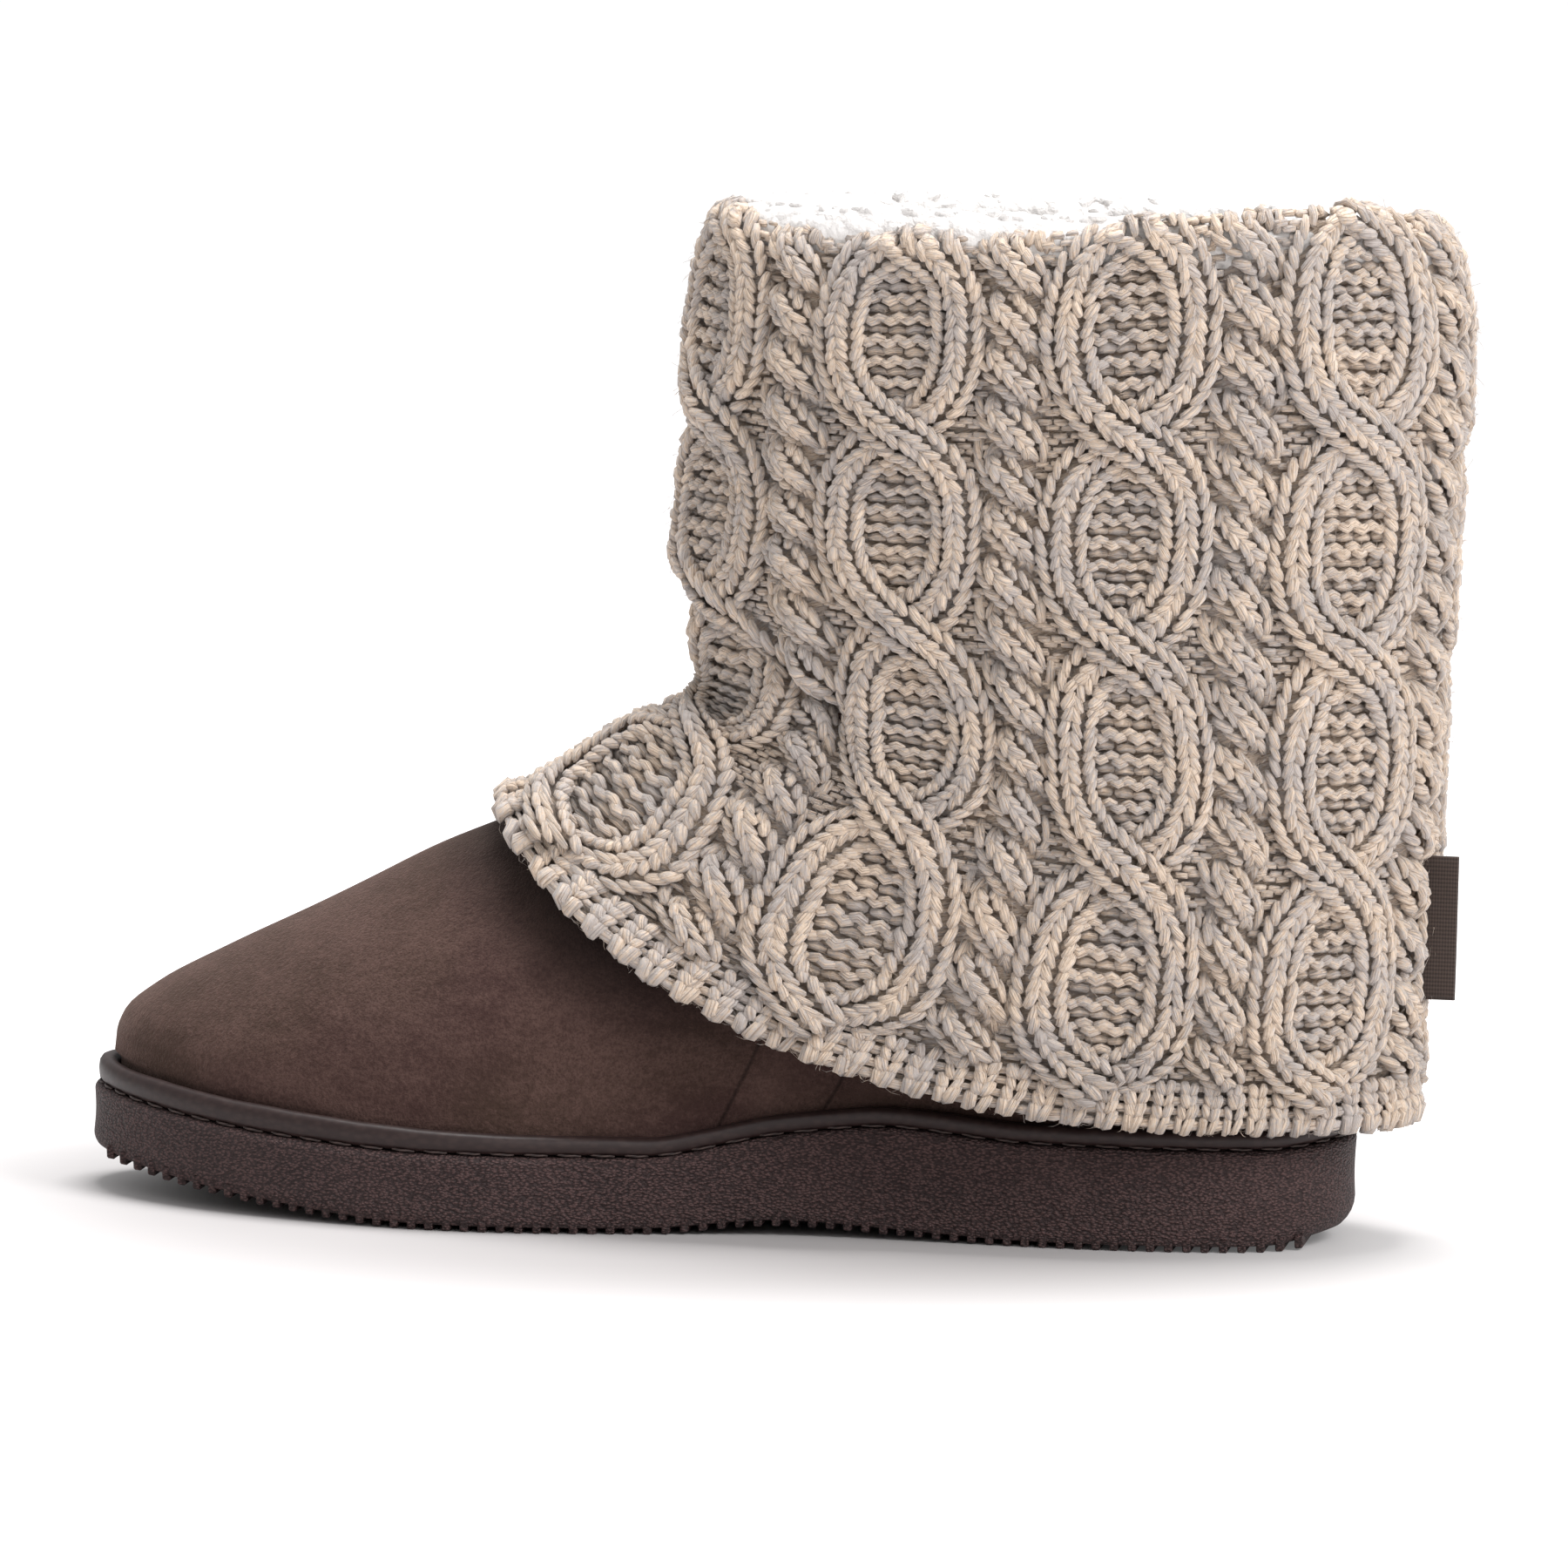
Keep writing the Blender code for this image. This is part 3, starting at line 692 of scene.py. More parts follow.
        shift = np.random.default_rng(lines.seed).random((count, 2))
        uv = np.empty((count, len(template.uv), 2))
        uv[..., 0] = template.uv[None, :, 1] * chord[:, None] + shift[:, :1]
        uv[..., 1] = template.uv[None, :, 0] * lines.thickness[:, None] * math.pi + shift[:, 1:]
        layer = mesh.uv_layers.new(name="UVMap")
        layer.data.foreach_set("uv", uv.astype(np.float32).reshape(-1))
        tone = mesh.attributes.new("tone", "FLOAT", "POINT")
        tones = np.repeat(np.random.default_rng(lines.seed + 1).random(count), verts)
        tone.data.foreach_set("value", tones.astype(np.float32))
        mesh.validate()
        mesh.shade_smooth()
        obj = bpy.data.objects.new(name, mesh)
        bpy.context.collection.objects.link(obj)
        return obj

    @staticmethod
    def place_in_shoe(obj: bpy.types.Object, material: bpy.types.Material, slot: Slot | None,
                      replaced: Node | None = None) -> bpy.types.Object:
        """Dress a finished piece and join it to the frame.

        Args:
            obj: The piece.
            material: Its material.
            slot: The record's slot that it shows, if any; not used.
            replaced: The solid that it stands for, if any.

        Returns:
            The piece.
        """
        obj.data.materials.clear()
        obj.data.materials.append(material)
        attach(obj, "root")
        if replaced is not None:
            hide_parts(replaced.value)
        triangles = sum(len(p.vertices) - 2 for p in obj.data.polygons)
        log.info("%s: %d triangles", obj.name, triangles)
        return obj


class Template(NamedTuple):
    """A bit of yarn: places along it, how far out and at what turn, and its pattern."""

    along: np.ndarray
    radial: np.ndarray
    angle: np.ndarray
    uv: np.ndarray
    corners: np.ndarray
    sizes: np.ndarray


class Lines(NamedTuple):
    """Short bent lines on a surface, each by three places around, down and out of it."""

    bends: np.ndarray
    thickness: np.ndarray
    seed: int
    fullness: float
    flatness: float = 0.92


class Field:
    """A number that varies over a surface: one socket of a material's nodes."""

    def __init__(self, paint: "Paint", socket: bpy.types.NodeSocket) -> None:
        """Wrap a socket."""
        self.paint = paint
        self.socket = socket

    def joined(self, operation: str, first: "Field | float", second: "Field | float") -> "Field":
        """One Math node on two values."""
        made = self.paint.node("ShaderNodeMath", {"operation": operation},
                               {0: first, 1: second})
        return Field(self.paint, made.outputs[0])

    def __add__(self, other: "Field | float") -> "Field":
        """Add."""
        return self.joined("ADD", self, other)

    __radd__ = __add__

    def __mul__(self, other: "Field | float") -> "Field":
        """Multiply."""
        return self.joined("MULTIPLY", self, other)

    __rmul__ = __mul__

    def __sub__(self, other: "Field | float") -> "Field":
        """Take the other away."""
        return self.joined("SUBTRACT", self, other)

    def __rsub__(self, other: "Field | float") -> "Field":
        """Take this away from the other."""
        return self.joined("SUBTRACT", other, self)

    def size(self) -> "Field":
        """The value without its sign."""
        return self.joined("ABSOLUTE", self, 0.0)

    def within(self, low: float, high: float) -> "Field":
        """Stretch low to high over 0 to 1, clamped and eased.

        Args:
            low: The value that becomes 0.
            high: The value that becomes 1.

        Returns:
            The stretched value.
        """
        made = self.paint.node(
            "ShaderNodeMapRange",
            {"interpolation_type": "SMOOTHSTEP"},
            {"Value": self, "From Min": low, "From Max": high},
        )
        return Field(self.paint, made.outputs[0])


class Paint:
    """One material's nodes."""

    def __init__(self, name: str) -> None:
        """Start a material with its one shader."""
        self.material = bpy.data.materials.new(name)
        self.material.use_nodes = True
        self.tree = self.material.node_tree
        self.shader = self.tree.nodes["Principled BSDF"]

    def node(self, kind: str, settings: dict, sockets: dict) -> bpy.types.Node:
        """Add a node.

        Args:
            kind: Its type.
            settings: Its own settings, which are set first.
            sockets: Values or links of its sockets, by name or number.

        Returns:
            The node.
        """
        made = self.tree.nodes.new(kind)
        for name, value in settings.items():
            setattr(made, name, value)
        for key, value in sockets.items():
            self.feed(made.inputs[key], value)
        return made

    def feed(self, socket: bpy.types.NodeSocket, value: object) -> None:
        """Link a socket to what feeds it, or set its value.

        Args:
            socket: The socket.
            value: A field, another node's socket or a plain value.
        """
        if isinstance(value, Field):
            self.tree.links.new(value.socket, socket)
        elif isinstance(value, bpy.types.NodeSocket):
            self.tree.links.new(value, socket)
        elif isinstance(value, tuple) and len(value) == 3 and socket.type == "RGBA":
            socket.default_value = (*value, 1.0)
        else:
            socket.default_value = value

    def place(self, scale: tuple[float, float, float] = (1.0, 1.0, 1.0),
              turn: tuple[float, float, float] = (0.0, 0.0, 0.0)) -> bpy.types.NodeSocket:
        """The piece's own coordinates in metres, stretched and turned."""
        source = self.node("ShaderNodeTexCoord", {}, {})
        made = self.node("ShaderNodeMapping", {},
                         {"Vector": source.outputs["Object"], "Scale": scale, "Rotation": turn})
        return made.outputs[0]

    def pattern(self, size: tuple[float, float, float],
                twist: float = 0.0) -> bpy.types.NodeSocket:
        """The piece's pattern coordinates, turned and then counted in steps of a size in metres."""
        source = self.node("ShaderNodeUVMap", {"uv_map": "UVMap"}, {})
        made = self.node(
            "ShaderNodeMapping", {"vector_type": "TEXTURE"},
            {"Vector": source.outputs[0], "Scale": size, "Rotation": (0.0, 0.0, twist)})
        return made.outputs[0]

    def slant(self, way: tuple[float, float, float], offset: float) -> Field:
        """How far along a direction a place lies, past an offset."""
        made = self.node("ShaderNodeVectorMath", {"operation": "DOT_PRODUCT"},
                         {0: self.place(), 1: way})
        return Field(self, made.outputs["Value"]) - offset

    def attribute(self, name: str) -> Field:
        """A number stored on the piece."""
        made = self.node("ShaderNodeAttribute", {"attribute_name": name}, {})
        return Field(self, made.outputs["Fac"])

    def noise(self, place: bpy.types.NodeSocket, scale: float, detail: float = 2.0,
              rough: float = 0.5) -> Field:
        """Soft noise, about 0.5 in the mean."""
        made = self.node("ShaderNodeTexNoise", {},
                         {"Vector": place, "Scale": scale, "Detail": detail, "Roughness": rough})
        return Field(self, made.outputs[0])

    def cells(self, place: bpy.types.NodeSocket, scale: float) -> Field:
        """How far it is to the nearest of many scattered points."""
        made = self.node("ShaderNodeTexVoronoi", {}, {"Vector": place, "Scale": scale})
        return Field(self, made.outputs["Distance"])

    def waves(self, place: bpy.types.NodeSocket, scale: float, direction: str) -> Field:
        """Even waves along one direction."""
        made = self.node("ShaderNodeTexWave", {"bands_direction": direction},
                         {"Vector": place, "Scale": scale})
        return Field(self, made.outputs["Fac"])

    def blend(self, share: Field | float, low: object, high: object) -> bpy.types.NodeSocket:
        """Mix two colours."""
        made = self.node("ShaderNodeMix", {"data_type": "RGBA"}, {0: share, 6: low, 7: high})
        return made.outputs[2]

    def bump(self, height: Field, distance: float, strength: float = 1.0) -> bpy.types.NodeSocket:
        """A bumpy normal from a height."""
        made = self.node("ShaderNodeBump", {},
                         {"Strength": strength, "Distance": distance, "Height": height})
        return made.outputs[0]

    def done(self, sockets: dict) -> bpy.types.Material:
        """Feed the shader's sockets and give the material."""
        for name, value in sockets.items():
            self.feed(self.shader.inputs[name], value)
        return self.material


@dataclass(frozen=True)
class YarnFinish:
    """Heathered wool yarn: fibres of a few colours drawn along it, soft and matt."""

    light: Colour = (0.810, 0.664, 0.536)
    warm: Colour = (0.590, 0.436, 0.314)
    grey: Colour = (0.385, 0.370, 0.385)
    # Dark fibres in the heather, and the colour that deep yarn is darkened towards as painted shade
    dark: Colour = (0.170, 0.124, 0.100)
    fibre_pitch: float = 0.00034
    fibre_length: float = 0.0036
    twist: float = 0.30
    slub: tuple[float, float, float] = (0.0038, 0.0011, 1.0)
    drift_scale: float = 95.0
    speck_scale: float = 1500.0
    depth: float = 0.00060
    sheen: float = 0.45

    def material(self, name: str, bright: float = 1.0) -> bpy.types.Material:
        """Make the yarn's material.

        Args:
            name: The material's name.
            bright: How bright it is: under 1, the yarn is darkened towards its dark colour as
                painted shade, for yarn that lies deep.

        Returns:
            The material.
        """
        paint = Paint(name)
        size = (self.fibre_length, self.fibre_pitch, 1.0)
        longer = (2.0 * self.fibre_length, 2.4 * self.fibre_pitch, 1.0)
        fibres = paint.noise(paint.pattern(size, self.twist), 1.0, 3.0, 0.7)
        others = paint.noise(paint.pattern(longer, self.twist), 1.0, 2.0)
        slubs = paint.noise(paint.pattern(self.slub, -self.twist), 1.0, 2.0)
        drift = paint.noise(paint.place(), self.drift_scale, 3.0)
        specks = paint.noise(paint.place(), self.speck_scale, 2.0, 0.6)
        tone = paint.attribute("tone")
        greyness = (0.34 * drift + 0.36 * others + 0.02 * tone + 0.28 * specks).within(0.42, 0.59)
        body = paint.blend((0.7 * fibres + 0.3 * specks).within(0.36, 0.62), self.warm, self.light)
        heather = paint.blend(greyness * 0.70, body, self.grey)
        streaks = (1.0 - fibres).within(0.48, 0.66)
        streaked = paint.blend(streaks * 0.62, heather, self.dark)
        # Painted shade: yarn that lies deep is darkened
        shade = paint.blend(1.0 - bright, streaked, self.dark)
        return paint.done({
            "Base Color": shade,
            "Roughness": 0.92,
            "Sheen Weight": self.sheen,
            "Sheen Roughness": 0.45,
            "Specular IOR Level": 0.2,
            "Normal": paint.bump(fibres + 0.5 * slubs + 0.4 * specks, self.depth, 1.0),
        })


@dataclass(frozen=True)
class SuedeFinish:
    """Brushed microfibre suede: a dull nap that lies in soft patches."""

    brown: Colour = (0.038, 0.0200, 0.0172)
    # Lighter nap in patches, and the painted sheen beside the seams
    nap_and_sheen: Colour = (0.108, 0.063, 0.0535)
    olive: Colour = (0.056, 0.0345, 0.0242)
    plum: Colour = (0.058, 0.0280, 0.0272)
    # Near black: painted shade under the cuff's hem and in the seams' grooves
    painted_shade: Colour = (0.006, 0.0035, 0.003)
    patch_scale: float = 38.0
    brush_scale: float = 130.0
    hue_scale: float = 21.0
    grain_scale: float = 1900.0
    speck_scale: float = 900.0
    depth: float = 0.00035
    sheen: float = 0.24
    sheen_tint: Colour = (0.60, 0.46, 0.40)
    seam_half_width: float = 0.0007
    seam_edge: float = 0.0060
    seams: tuple[tuple[float, float, float, float], ...] = (
        (-0.0835, 0.045, -0.0950, 0.0195),
        (-0.0660, 0.038, -0.0750, 0.0215),
    )

    def material(self, name: str) -> bpy.types.Material:
        """Make the suede's material.

        Args:
            name: The material's name.

        Returns:
            The material.
        """
        paint = Paint(name)
        patches = paint.noise(paint.place((1.0, 1.0, 1.6)), self.patch_scale, 3.0, 0.55)
        stroked = paint.place((1.0, 1.0, 2.2), (0.0, 0.35, 0.0))
        brushed = paint.noise(stroked, self.brush_scale, 4.0, 0.6)
        hue = paint.noise(paint.place(), self.hue_scale, 1.0)
        grain = paint.noise(paint.place(), self.grain_scale, 2.0, 0.7)
        specks = paint.noise(paint.place(), self.speck_scale, 2.0, 0.6)
        tinted = paint.blend(hue.within(0.40, 0.62), self.olive, self.plum)
        base = paint.blend(0.55, self.brown, tinted)
        nap = (0.40 * patches + 0.25 * brushed + 0.35 * specks).within(0.38, 0.62)
        colour = paint.blend(nap * 0.75, base, self.nap_and_sheen)
        fine = paint.blend((1.0 - grain).within(0.42, 0.66) * 0.55, colour, self.brown)
        grooves = 0.0
        for x0, z0, x1, z1 in self.seams:
            slope = (x0 - x1) / (z0 - z1)
            away = paint.slant((1.0, 0.0, -slope), x0 - slope * z0)
            groove = 1.0 - away.size().within(0.0, self.seam_half_width)
            fading = 1.0 - away.within(0.0, 4.0 * self.seam_edge)
            # A lighter band on one side of each seam: painted sheen
            behind = away.within(0.0, self.seam_edge) * fading
            fine = paint.blend(behind * 0.30, fine, self.nap_and_sheen)
            grooves = groove + grooves
        # The seams' grooves are darkened as painted shade; the bump gives them their shape
        sewn = paint.blend(grooves * 0.55, fine, self.painted_shade)
        return paint.done({
            # Painted shadow: the suede darkens towards near black near the cuff's hem, by the
            # stored shade
            "Base Color": paint.blend(paint.attribute("shade"), sewn, self.painted_shade),
            "Roughness": 0.93,
            "Sheen Weight": self.sheen,
            "Sheen Roughness": 0.40,
            "Sheen Tint": self.sheen_tint,
            "Specular IOR Level": 0.15,
            "Normal": paint.bump(grain + 0.8 * specks + 0.4 * brushed - grooves, self.depth, 0.9),
        })


@dataclass(frozen=True)
class RubberFinish:
    """Moulded rubber with the mould's fine grain on it."""

    dark: Colour = (0.016, 0.0085, 0.0088)
    light: Colour = (0.112, 0.063, 0.060)
    grain_size: float = 0.00062
    grain_depth: float = 0.00115
    wear_scale: float = 60.0
    roughness: float = 0.54
    specular: float = 0.32

    def material(self, name: str) -> bpy.types.Material:
        """Make the rubber's material.

        Args:
            name: The material's name.

        Returns:
            The material.
        """
        paint = Paint(name)
        pebbles = paint.cells(paint.place((0.70, 0.70, 1.25)), 1.0 / self.grain_size)
        weave = paint.noise(paint.place((0.8, 0.8, 1.7)), 1.1 / self.grain_size, 2.0, 0.6)
        wear = paint.noise(paint.place(), self.wear_scale, 3.0)
        height = (1.0 - pebbles) * 0.75 + weave * 0.6
        # The grain's raised tops are coloured lighter: partly the rubber's grain, partly painted
        # highlight
        lit_grain_tops = height.within(0.54, 0.92)
        colour = paint.blend(lit_grain_tops * 0.75 + wear * 0.30, self.dark, self.light)
        return paint.done({
            "Base Color": colour,
            "Roughness": self.roughness + 0.14 * weave,
            "Specular IOR Level": self.specular,
            "Normal": paint.bump(height, self.grain_depth, 0.9),
        })


@dataclass(frozen=True)
class FleeceFinish:
    """White pile, clumped in soft curls."""

    white: Colour = (0.80, 0.775, 0.760)
    shade: Colour = (0.66, 0.635, 0.62)
    tuft: float = 0.0027
    clump_scale: float = 260.0
    curl_scale: float = 1300.0
    depth: float = 0.0012

    def material(self, name: str) -> bpy.types.Material:
        """Make the fleece's material.

        Args:
            name: The material's name.

        Returns:
            The material.
        """
        paint = Paint(name)
        clumps = paint.noise(paint.place(), self.clump_scale, 3.0, 0.65)
        curls = paint.noise(paint.place(), self.curl_scale, 2.0, 0.6)
        tufts = 1.0 - paint.cells(paint.place(), 1.0 / self.tuft)
        colour = paint.blend((0.3 * clumps + 0.3 * curls + 0.4 * tufts).within(0.32, 0.62),
                             self.shade, self.white)
        return paint.done({
            "Base Color": colour,
            "Roughness": 0.95,
            "Sheen Weight": 0.5,
            "Sheen Roughness": 0.4,
            "Specular IOR Level": 0.1,
            "Normal": paint.bump(0.5 * clumps + 0.35 * curls + 0.9 * tufts, self.depth, 0.75),
        })


@dataclass(frozen=True)
class TapeFinish:
    """Bare woven tape with a fine rib."""

    dark: Colour = (0.020, 0.012, 0.009)
    light: Colour = (0.060, 0.040, 0.033)
    pick: float = 0.00042

    def material(self, name: str) -> bpy.types.Material:
        """Make the tape's material.

        Args:
            name: The material's name.

        Returns:
            The material.
        """
        paint = Paint(name)
        across = paint.waves(paint.place(), 1.0 / self.pick / TAU, "Z")
        along = paint.waves(paint.place(), 1.0 / self.pick / TAU * 1.4, "X")
        threads = across * 0.6 + along * 0.4
        return paint.done({
            "Base Color": paint.blend(threads, self.dark, self.light),
            "Roughness": 0.80,
            "Sheen Weight": 0.25,
            "Specular IOR Level": 0.3,
            "Normal": paint.bump(threads, 0.00012, 0.9),
        })


@dataclass(frozen=True)
class ThreadFinish:
    """Waxed sewing thread, twisted."""

    brown: Colour = (0.018, 0.010, 0.009)
    light: Colour = (0.060, 0.038, 0.034)

    def material(self, name: str) -> bpy.types.Material:
        """Make the thread's material.

        Args:
            name: The material's name.

        Returns:
            The material.
        """
        paint = Paint(name)
        twist = paint.waves(paint.pattern((1.0, 0.625, 1.0)), 320.0, "DIAGONAL")
        return paint.done({
            "Base Color": paint.blend(twist, self.brown, self.light),
            "Roughness": 0.6,
            "Specular IOR Level": 0.4,
            "Normal": paint.bump(twist, 0.0001, 0.8),
        })


@dataclass
class Sole:
    """The moulded sole, its fine ribs and its two smooth pads."""

    form: ShoeForm
    columns: int = 300
    foot_radius: float = 0.0032
    heel_foot_radius: float = 0.0075
    shoulder_radius: float = 0.0014
    rib_pitch: float = 0.0037
    rib_breadth: float = 0.0017
    rib_depth: float = 0.0013
    rib_sink: float = 0.0016
    rib_setback: float = -0.0003
    heel_clear: float = 0.0085
    toe_clear: float = 0.0070
    pad_length: float = 0.030
    pad_breadth: float = 0.028
    pad_places: tuple[float, ...] = (0.0, -0.128)
    heel_corner_reach: float = 0.022
    tuck: float = 0.92
    belly: float = 0.00025
    rib_end_lift: float = 0.30
    rib_rounding: float = 0.00028
    corner_steps: int = 5
    side_rows: int = 7
    cap_rows: int = 5
    finish: RubberFinish = RubberFinish()

    def corner(self, x: np.ndarray) -> np.ndarray:
        """Radius of the lower edge, larger round the back of the heel."""
        back = self.form.heel_overrun
        near_heel = smooth(back - self.heel_corner_reach, back, x)
        return self.foot_radius + (self.heel_foot_radius - self.foot_radius) * near_heel

    def flattened(self, plan: np.ndarray, share: float) -> np.ndarray:
        """A plan drawn in towards its middle line, to close a cap."""
        mirrored = np.roll(plan[::-1], 1, axis=0)
        middle = (plan[:, 1] + mirrored[:, 1]) / 2.0
        x = (plan[:, 0] + mirrored[:, 0]) / 2.0
        x = x + (plan[:, 0] - x) * share
        return np.column_stack([x, middle + (plan[:, 1] - middle) * share])

    def body(self) -> bpy.types.Object:
        """The sole's body, whose underside lies between the ribs."""
        outline = self.form.outline(self.columns)
        inward = self.form.inward(outline)
        bottom = self.form.bottom(outline[:, 0])
        top = self.form.top(outline[:, 0])
        radius = self.corner(outline[:, 0])
        rings = []
        floor = bottom + self.rib_depth
        tuck = outline + inward * (radius * self.tuck)[:, None]
        for i in range(self.cap_rows):
            rings.append(np.column_stack([self.flattened(tuck, i / self.cap_rows), floor]))
        rings.append(np.column_stack([tuck, floor]))
        for i in range(1, self.corner_steps + 1):
            angle = math.radians(30.0 + 60.0 * i / self.corner_steps)
            inset = radius * (1.0 - math.sin(angle))
            rise = np.maximum(radius * (1.0 - math.cos(angle)), self.rib_depth)
            rings.append(np.column_stack([outline + inward * inset[:, None], bottom + rise]))
        low, high = bottom + radius, top - self.shoulder_radius
        for i in range(1, self.side_rows + 1):
            t = i / self.side_rows
            belly = self.belly * math.sin(math.pi * t)
            rings.append(np.column_stack([outline + inward * belly, low + (high - low) * t]))
        for i in range(1, self.corner_steps):
            angle = math.radians(90.0 * i / (self.corner_steps - 1))
            inset = self.shoulder_radius * (1.0 - math.cos(angle))
            rise = self.shoulder_radius * math.sin(angle)
            rings.append(np.column_stack([outline + inward * inset, high + rise]))
        edge = rings[-1][:, :2]
        for i in reversed(range(self.cap_rows)):
            rings.append(np.column_stack([self.flattened(edge, i / self.cap_rows), top]))
        return Workbench.sheet("outsole_body", np.array(rings))

    def spans(self, x: float) -> list[tuple[float, float]]:
        """Stretches of a rib across the sole at a place along it, clear of the pads.

        Args:
            x: The place along the sole.

        Returns:
            The two ends of each stretch.
        """
        outline = self.form.outline(self.columns, self.rib_setback)
        order = np.argsort(outline[:, 0])
        lateral = outline[order][outline[order][:, 1] < self.form.toe_inswing * 0.4]
        medial = outline[order][outline[order][:, 1] > 0.0]
        low = float(np.interp(x, lateral[:, 0], lateral[:, 1]))
        high = float(np.interp(x, medial[:, 0], medial[:, 1]))
        for place in self.pad_places:
            if abs(x - place) < (self.pad_length + self.rib_pitch) / 2.0:
                return [(low, -self.pad_breadth / 2.0), (self.pad_breadth / 2.0, high)]
        return [(low, high)]

    def bar(self, x: float, low: float, high: float, breadth: float) -> bpy.types.Object:
        """One bar under the sole, from one side to the other, with rounded ends.

        Args:
            x: The bar's place along the sole.
            low: Its lateral end.
            high: Its medial end.
            breadth: Its size along the sole.

        Returns:
            The bar.
        """
        Workbench.clear_selection()
        bottom = float(self.form.bottom(x))
        slope = float(self.form.bottom(x + MM) - self.form.bottom(x - MM)) / (2.0 * MM)
        bpy.ops.mesh.primitive_cube_add(size=1.0)
        bar = bpy.context.active_object
        height = self.rib_depth + self.rib_sink
        for vert in bar.data.vertices:
            along, across, up = vert.co
            lift = float(self.corner(np.array(x))) * self.rib_end_lift if up < 0 else 0.0
            ends = high - low - (lift * 2.0 if abs(across) > 0.4 else 0.0)
            vert.co = (
                x + along * breadth,
                (low + high) / 2.0 + across * ends,
                bottom + height * (0.5 + up) + along * breadth * slope,
            )
        bar.modifiers.new("edge", "BEVEL").width = self.rib_rounding
        bpy.ops.object.modifier_apply(modifier="edge")
        return bar

    def ribs(self) -> bpy.types.Object:
        """All the fine ribs, joined, with the two pads that the shoe stands on."""
        bars = []
        x = self.form.heel_overrun - self.form.length + self.toe_clear
        while x < self.form.heel_overrun - self.heel_clear:
            for low, high in self.spans(x):
                if high - low > 2.0 * self.rib_breadth:
                    bars.append(self.bar(x, low, high, self.rib_breadth))
            x += self.rib_pitch
        for place in self.pad_places:
            half = self.pad_breadth / 2.0
            bars.append(self.bar(place, -half, half, self.pad_length))
        Workbench.pick(bars[0])
        for bar in bars[1:]:
            bar.select_set(True)
        bpy.ops.object.join()
        ribs = bpy.context.active_object
        ribs.name = ribs.data.name = "outsole_ribs"
        return ribs

    def build(self) -> None:
        """Make the sole and dress it."""
        rubber = self.finish.material("sole_rubber")
        Workbench.place_in_shoe(self.body(), rubber, Slot.SOLE, Node.OUTSOLE)
        Workbench.place_in_shoe(self.ribs(), rubber, Slot.SOLE)


@dataclass
class Welt:
    """The bead on the sole's shoulder and the row of stitches in the groove below it."""

    form: ShoeForm
    columns: int = 320
    section_steps: int = 14
    squareness: float = 2.6
    slimmer: float = 0.28
    slim_from: float = -0.195
    slim_to: float = -0.110
    stitch_pitch: float = 0.0070
    stitch_length: float = 0.0052
    stitch_bends: tuple[tuple[float, float, float], ...] = (
        (-1.0, 0.0001, -0.0008), (0.0, 0.0002, 0.0003), (1.0, 0.0003, -0.0008))
    thread: float = 0.00055
    groove_steps: int = 1200
    lump: float = 0.00016
    lump_size: float = 0.011
    finish: RubberFinish = RubberFinish(
        dark=(0.020, 0.0105, 0.0100), light=(0.032, 0.018, 0.0165), grain_size=0.0016,
        grain_depth=0.00004, roughness=0.40, specular=0.32)

    def bead(self) -> bpy.types.Object:
        """The bead, a rounded strip closed round the shoe."""
        half_breadth, half_height = self.form.welt_breadth / 2.0, self.form.welt_height / 2.0
        rings = []
        for i in range(self.section_steps):
            turn = TAU * i / self.section_steps
            side = math.copysign(abs(math.cos(turn)) ** (2.0 / self.squareness), math.cos(turn))
            rise = math.copysign(abs(math.sin(turn)) ** (2.0 / self.squareness), math.sin(turn))
            plan = self.form.outline(self.columns,
                                     self.form.welt_setback + half_breadth * (1.0 - side))
            low = self.slimmer * smooth(self.slim_from, self.slim_to, plan[:, 0])
            level = self.form.top(plan[:, 0]) + self.form.fit_gap
            level += half_height * (1.0 + rise) * (1.0 - low)
            rings.append(np.column_stack([plan, level]))
        rings = np.array(rings)
        rings[..., 2] += lumps(rings, self.lump_size, 3.0) * self.lump
        return Workbench.sheet("welt_bead", rings, looped=True)

    def stitches(self) -> bpy.types.Object:
        """Short bits of thread in the groove, each dipping in at both ends."""
        plan = self.form.outline(self.groove_steps, self.form.welt_setback)
        closed = np.vstack([plan, plan[:1]])
        walked = np.concatenate([[0.0], np.cumsum(np.linalg.norm(np.diff(closed, axis=0), axis=1))])
        inward = np.vstack([self.form.inward(plan)] * 2)[: len(closed)]
        count = round(walked[-1] / self.stitch_pitch)
        middles = (np.arange(count) + 0.3) * walked[-1] / count

        def place(along: np.ndarray, rise: np.ndarray, out: np.ndarray) -> np.ndarray:
            """Put places along, above and out of the groove in space."""
            along = along % walked[-1]
            x, y = (np.interp(along, walked, closed[:, k]) for k in range(2))
            nx, ny = (np.interp(along, walked, inward[:, k]) for k in range(2))
            level = self.form.top(x) + self.form.fit_gap + rise
            return np.stack([x - nx * out, y - ny * out, level], axis=-1)

        half = self.stitch_length / 2.0
        bends = np.stack([
            np.column_stack([middles + shift * half, np.full(count, rise), np.full(count, out)])
            for shift, rise, out in self.stitch_bends
        ], axis=1)
        lines = Lines(bends, np.full(count, self.thread), seed=Seed.WELT_STITCHES,
                      fullness=0.35, flatness=1.0)
        return Workbench.lay("welt_stitches", Workbench.thread(6, 7), lines, place)

    def build(self) -> None:
        """Make the bead and its stitches and dress them."""
        rubber = self.finish.material("welt_rubber")
        Workbench.place_in_shoe(self.bead(), rubber, Slot.WELT, Node.WELT)
        Workbench.place_in_shoe(self.stitches(), ThreadFinish().material("sewing_thread"), None)


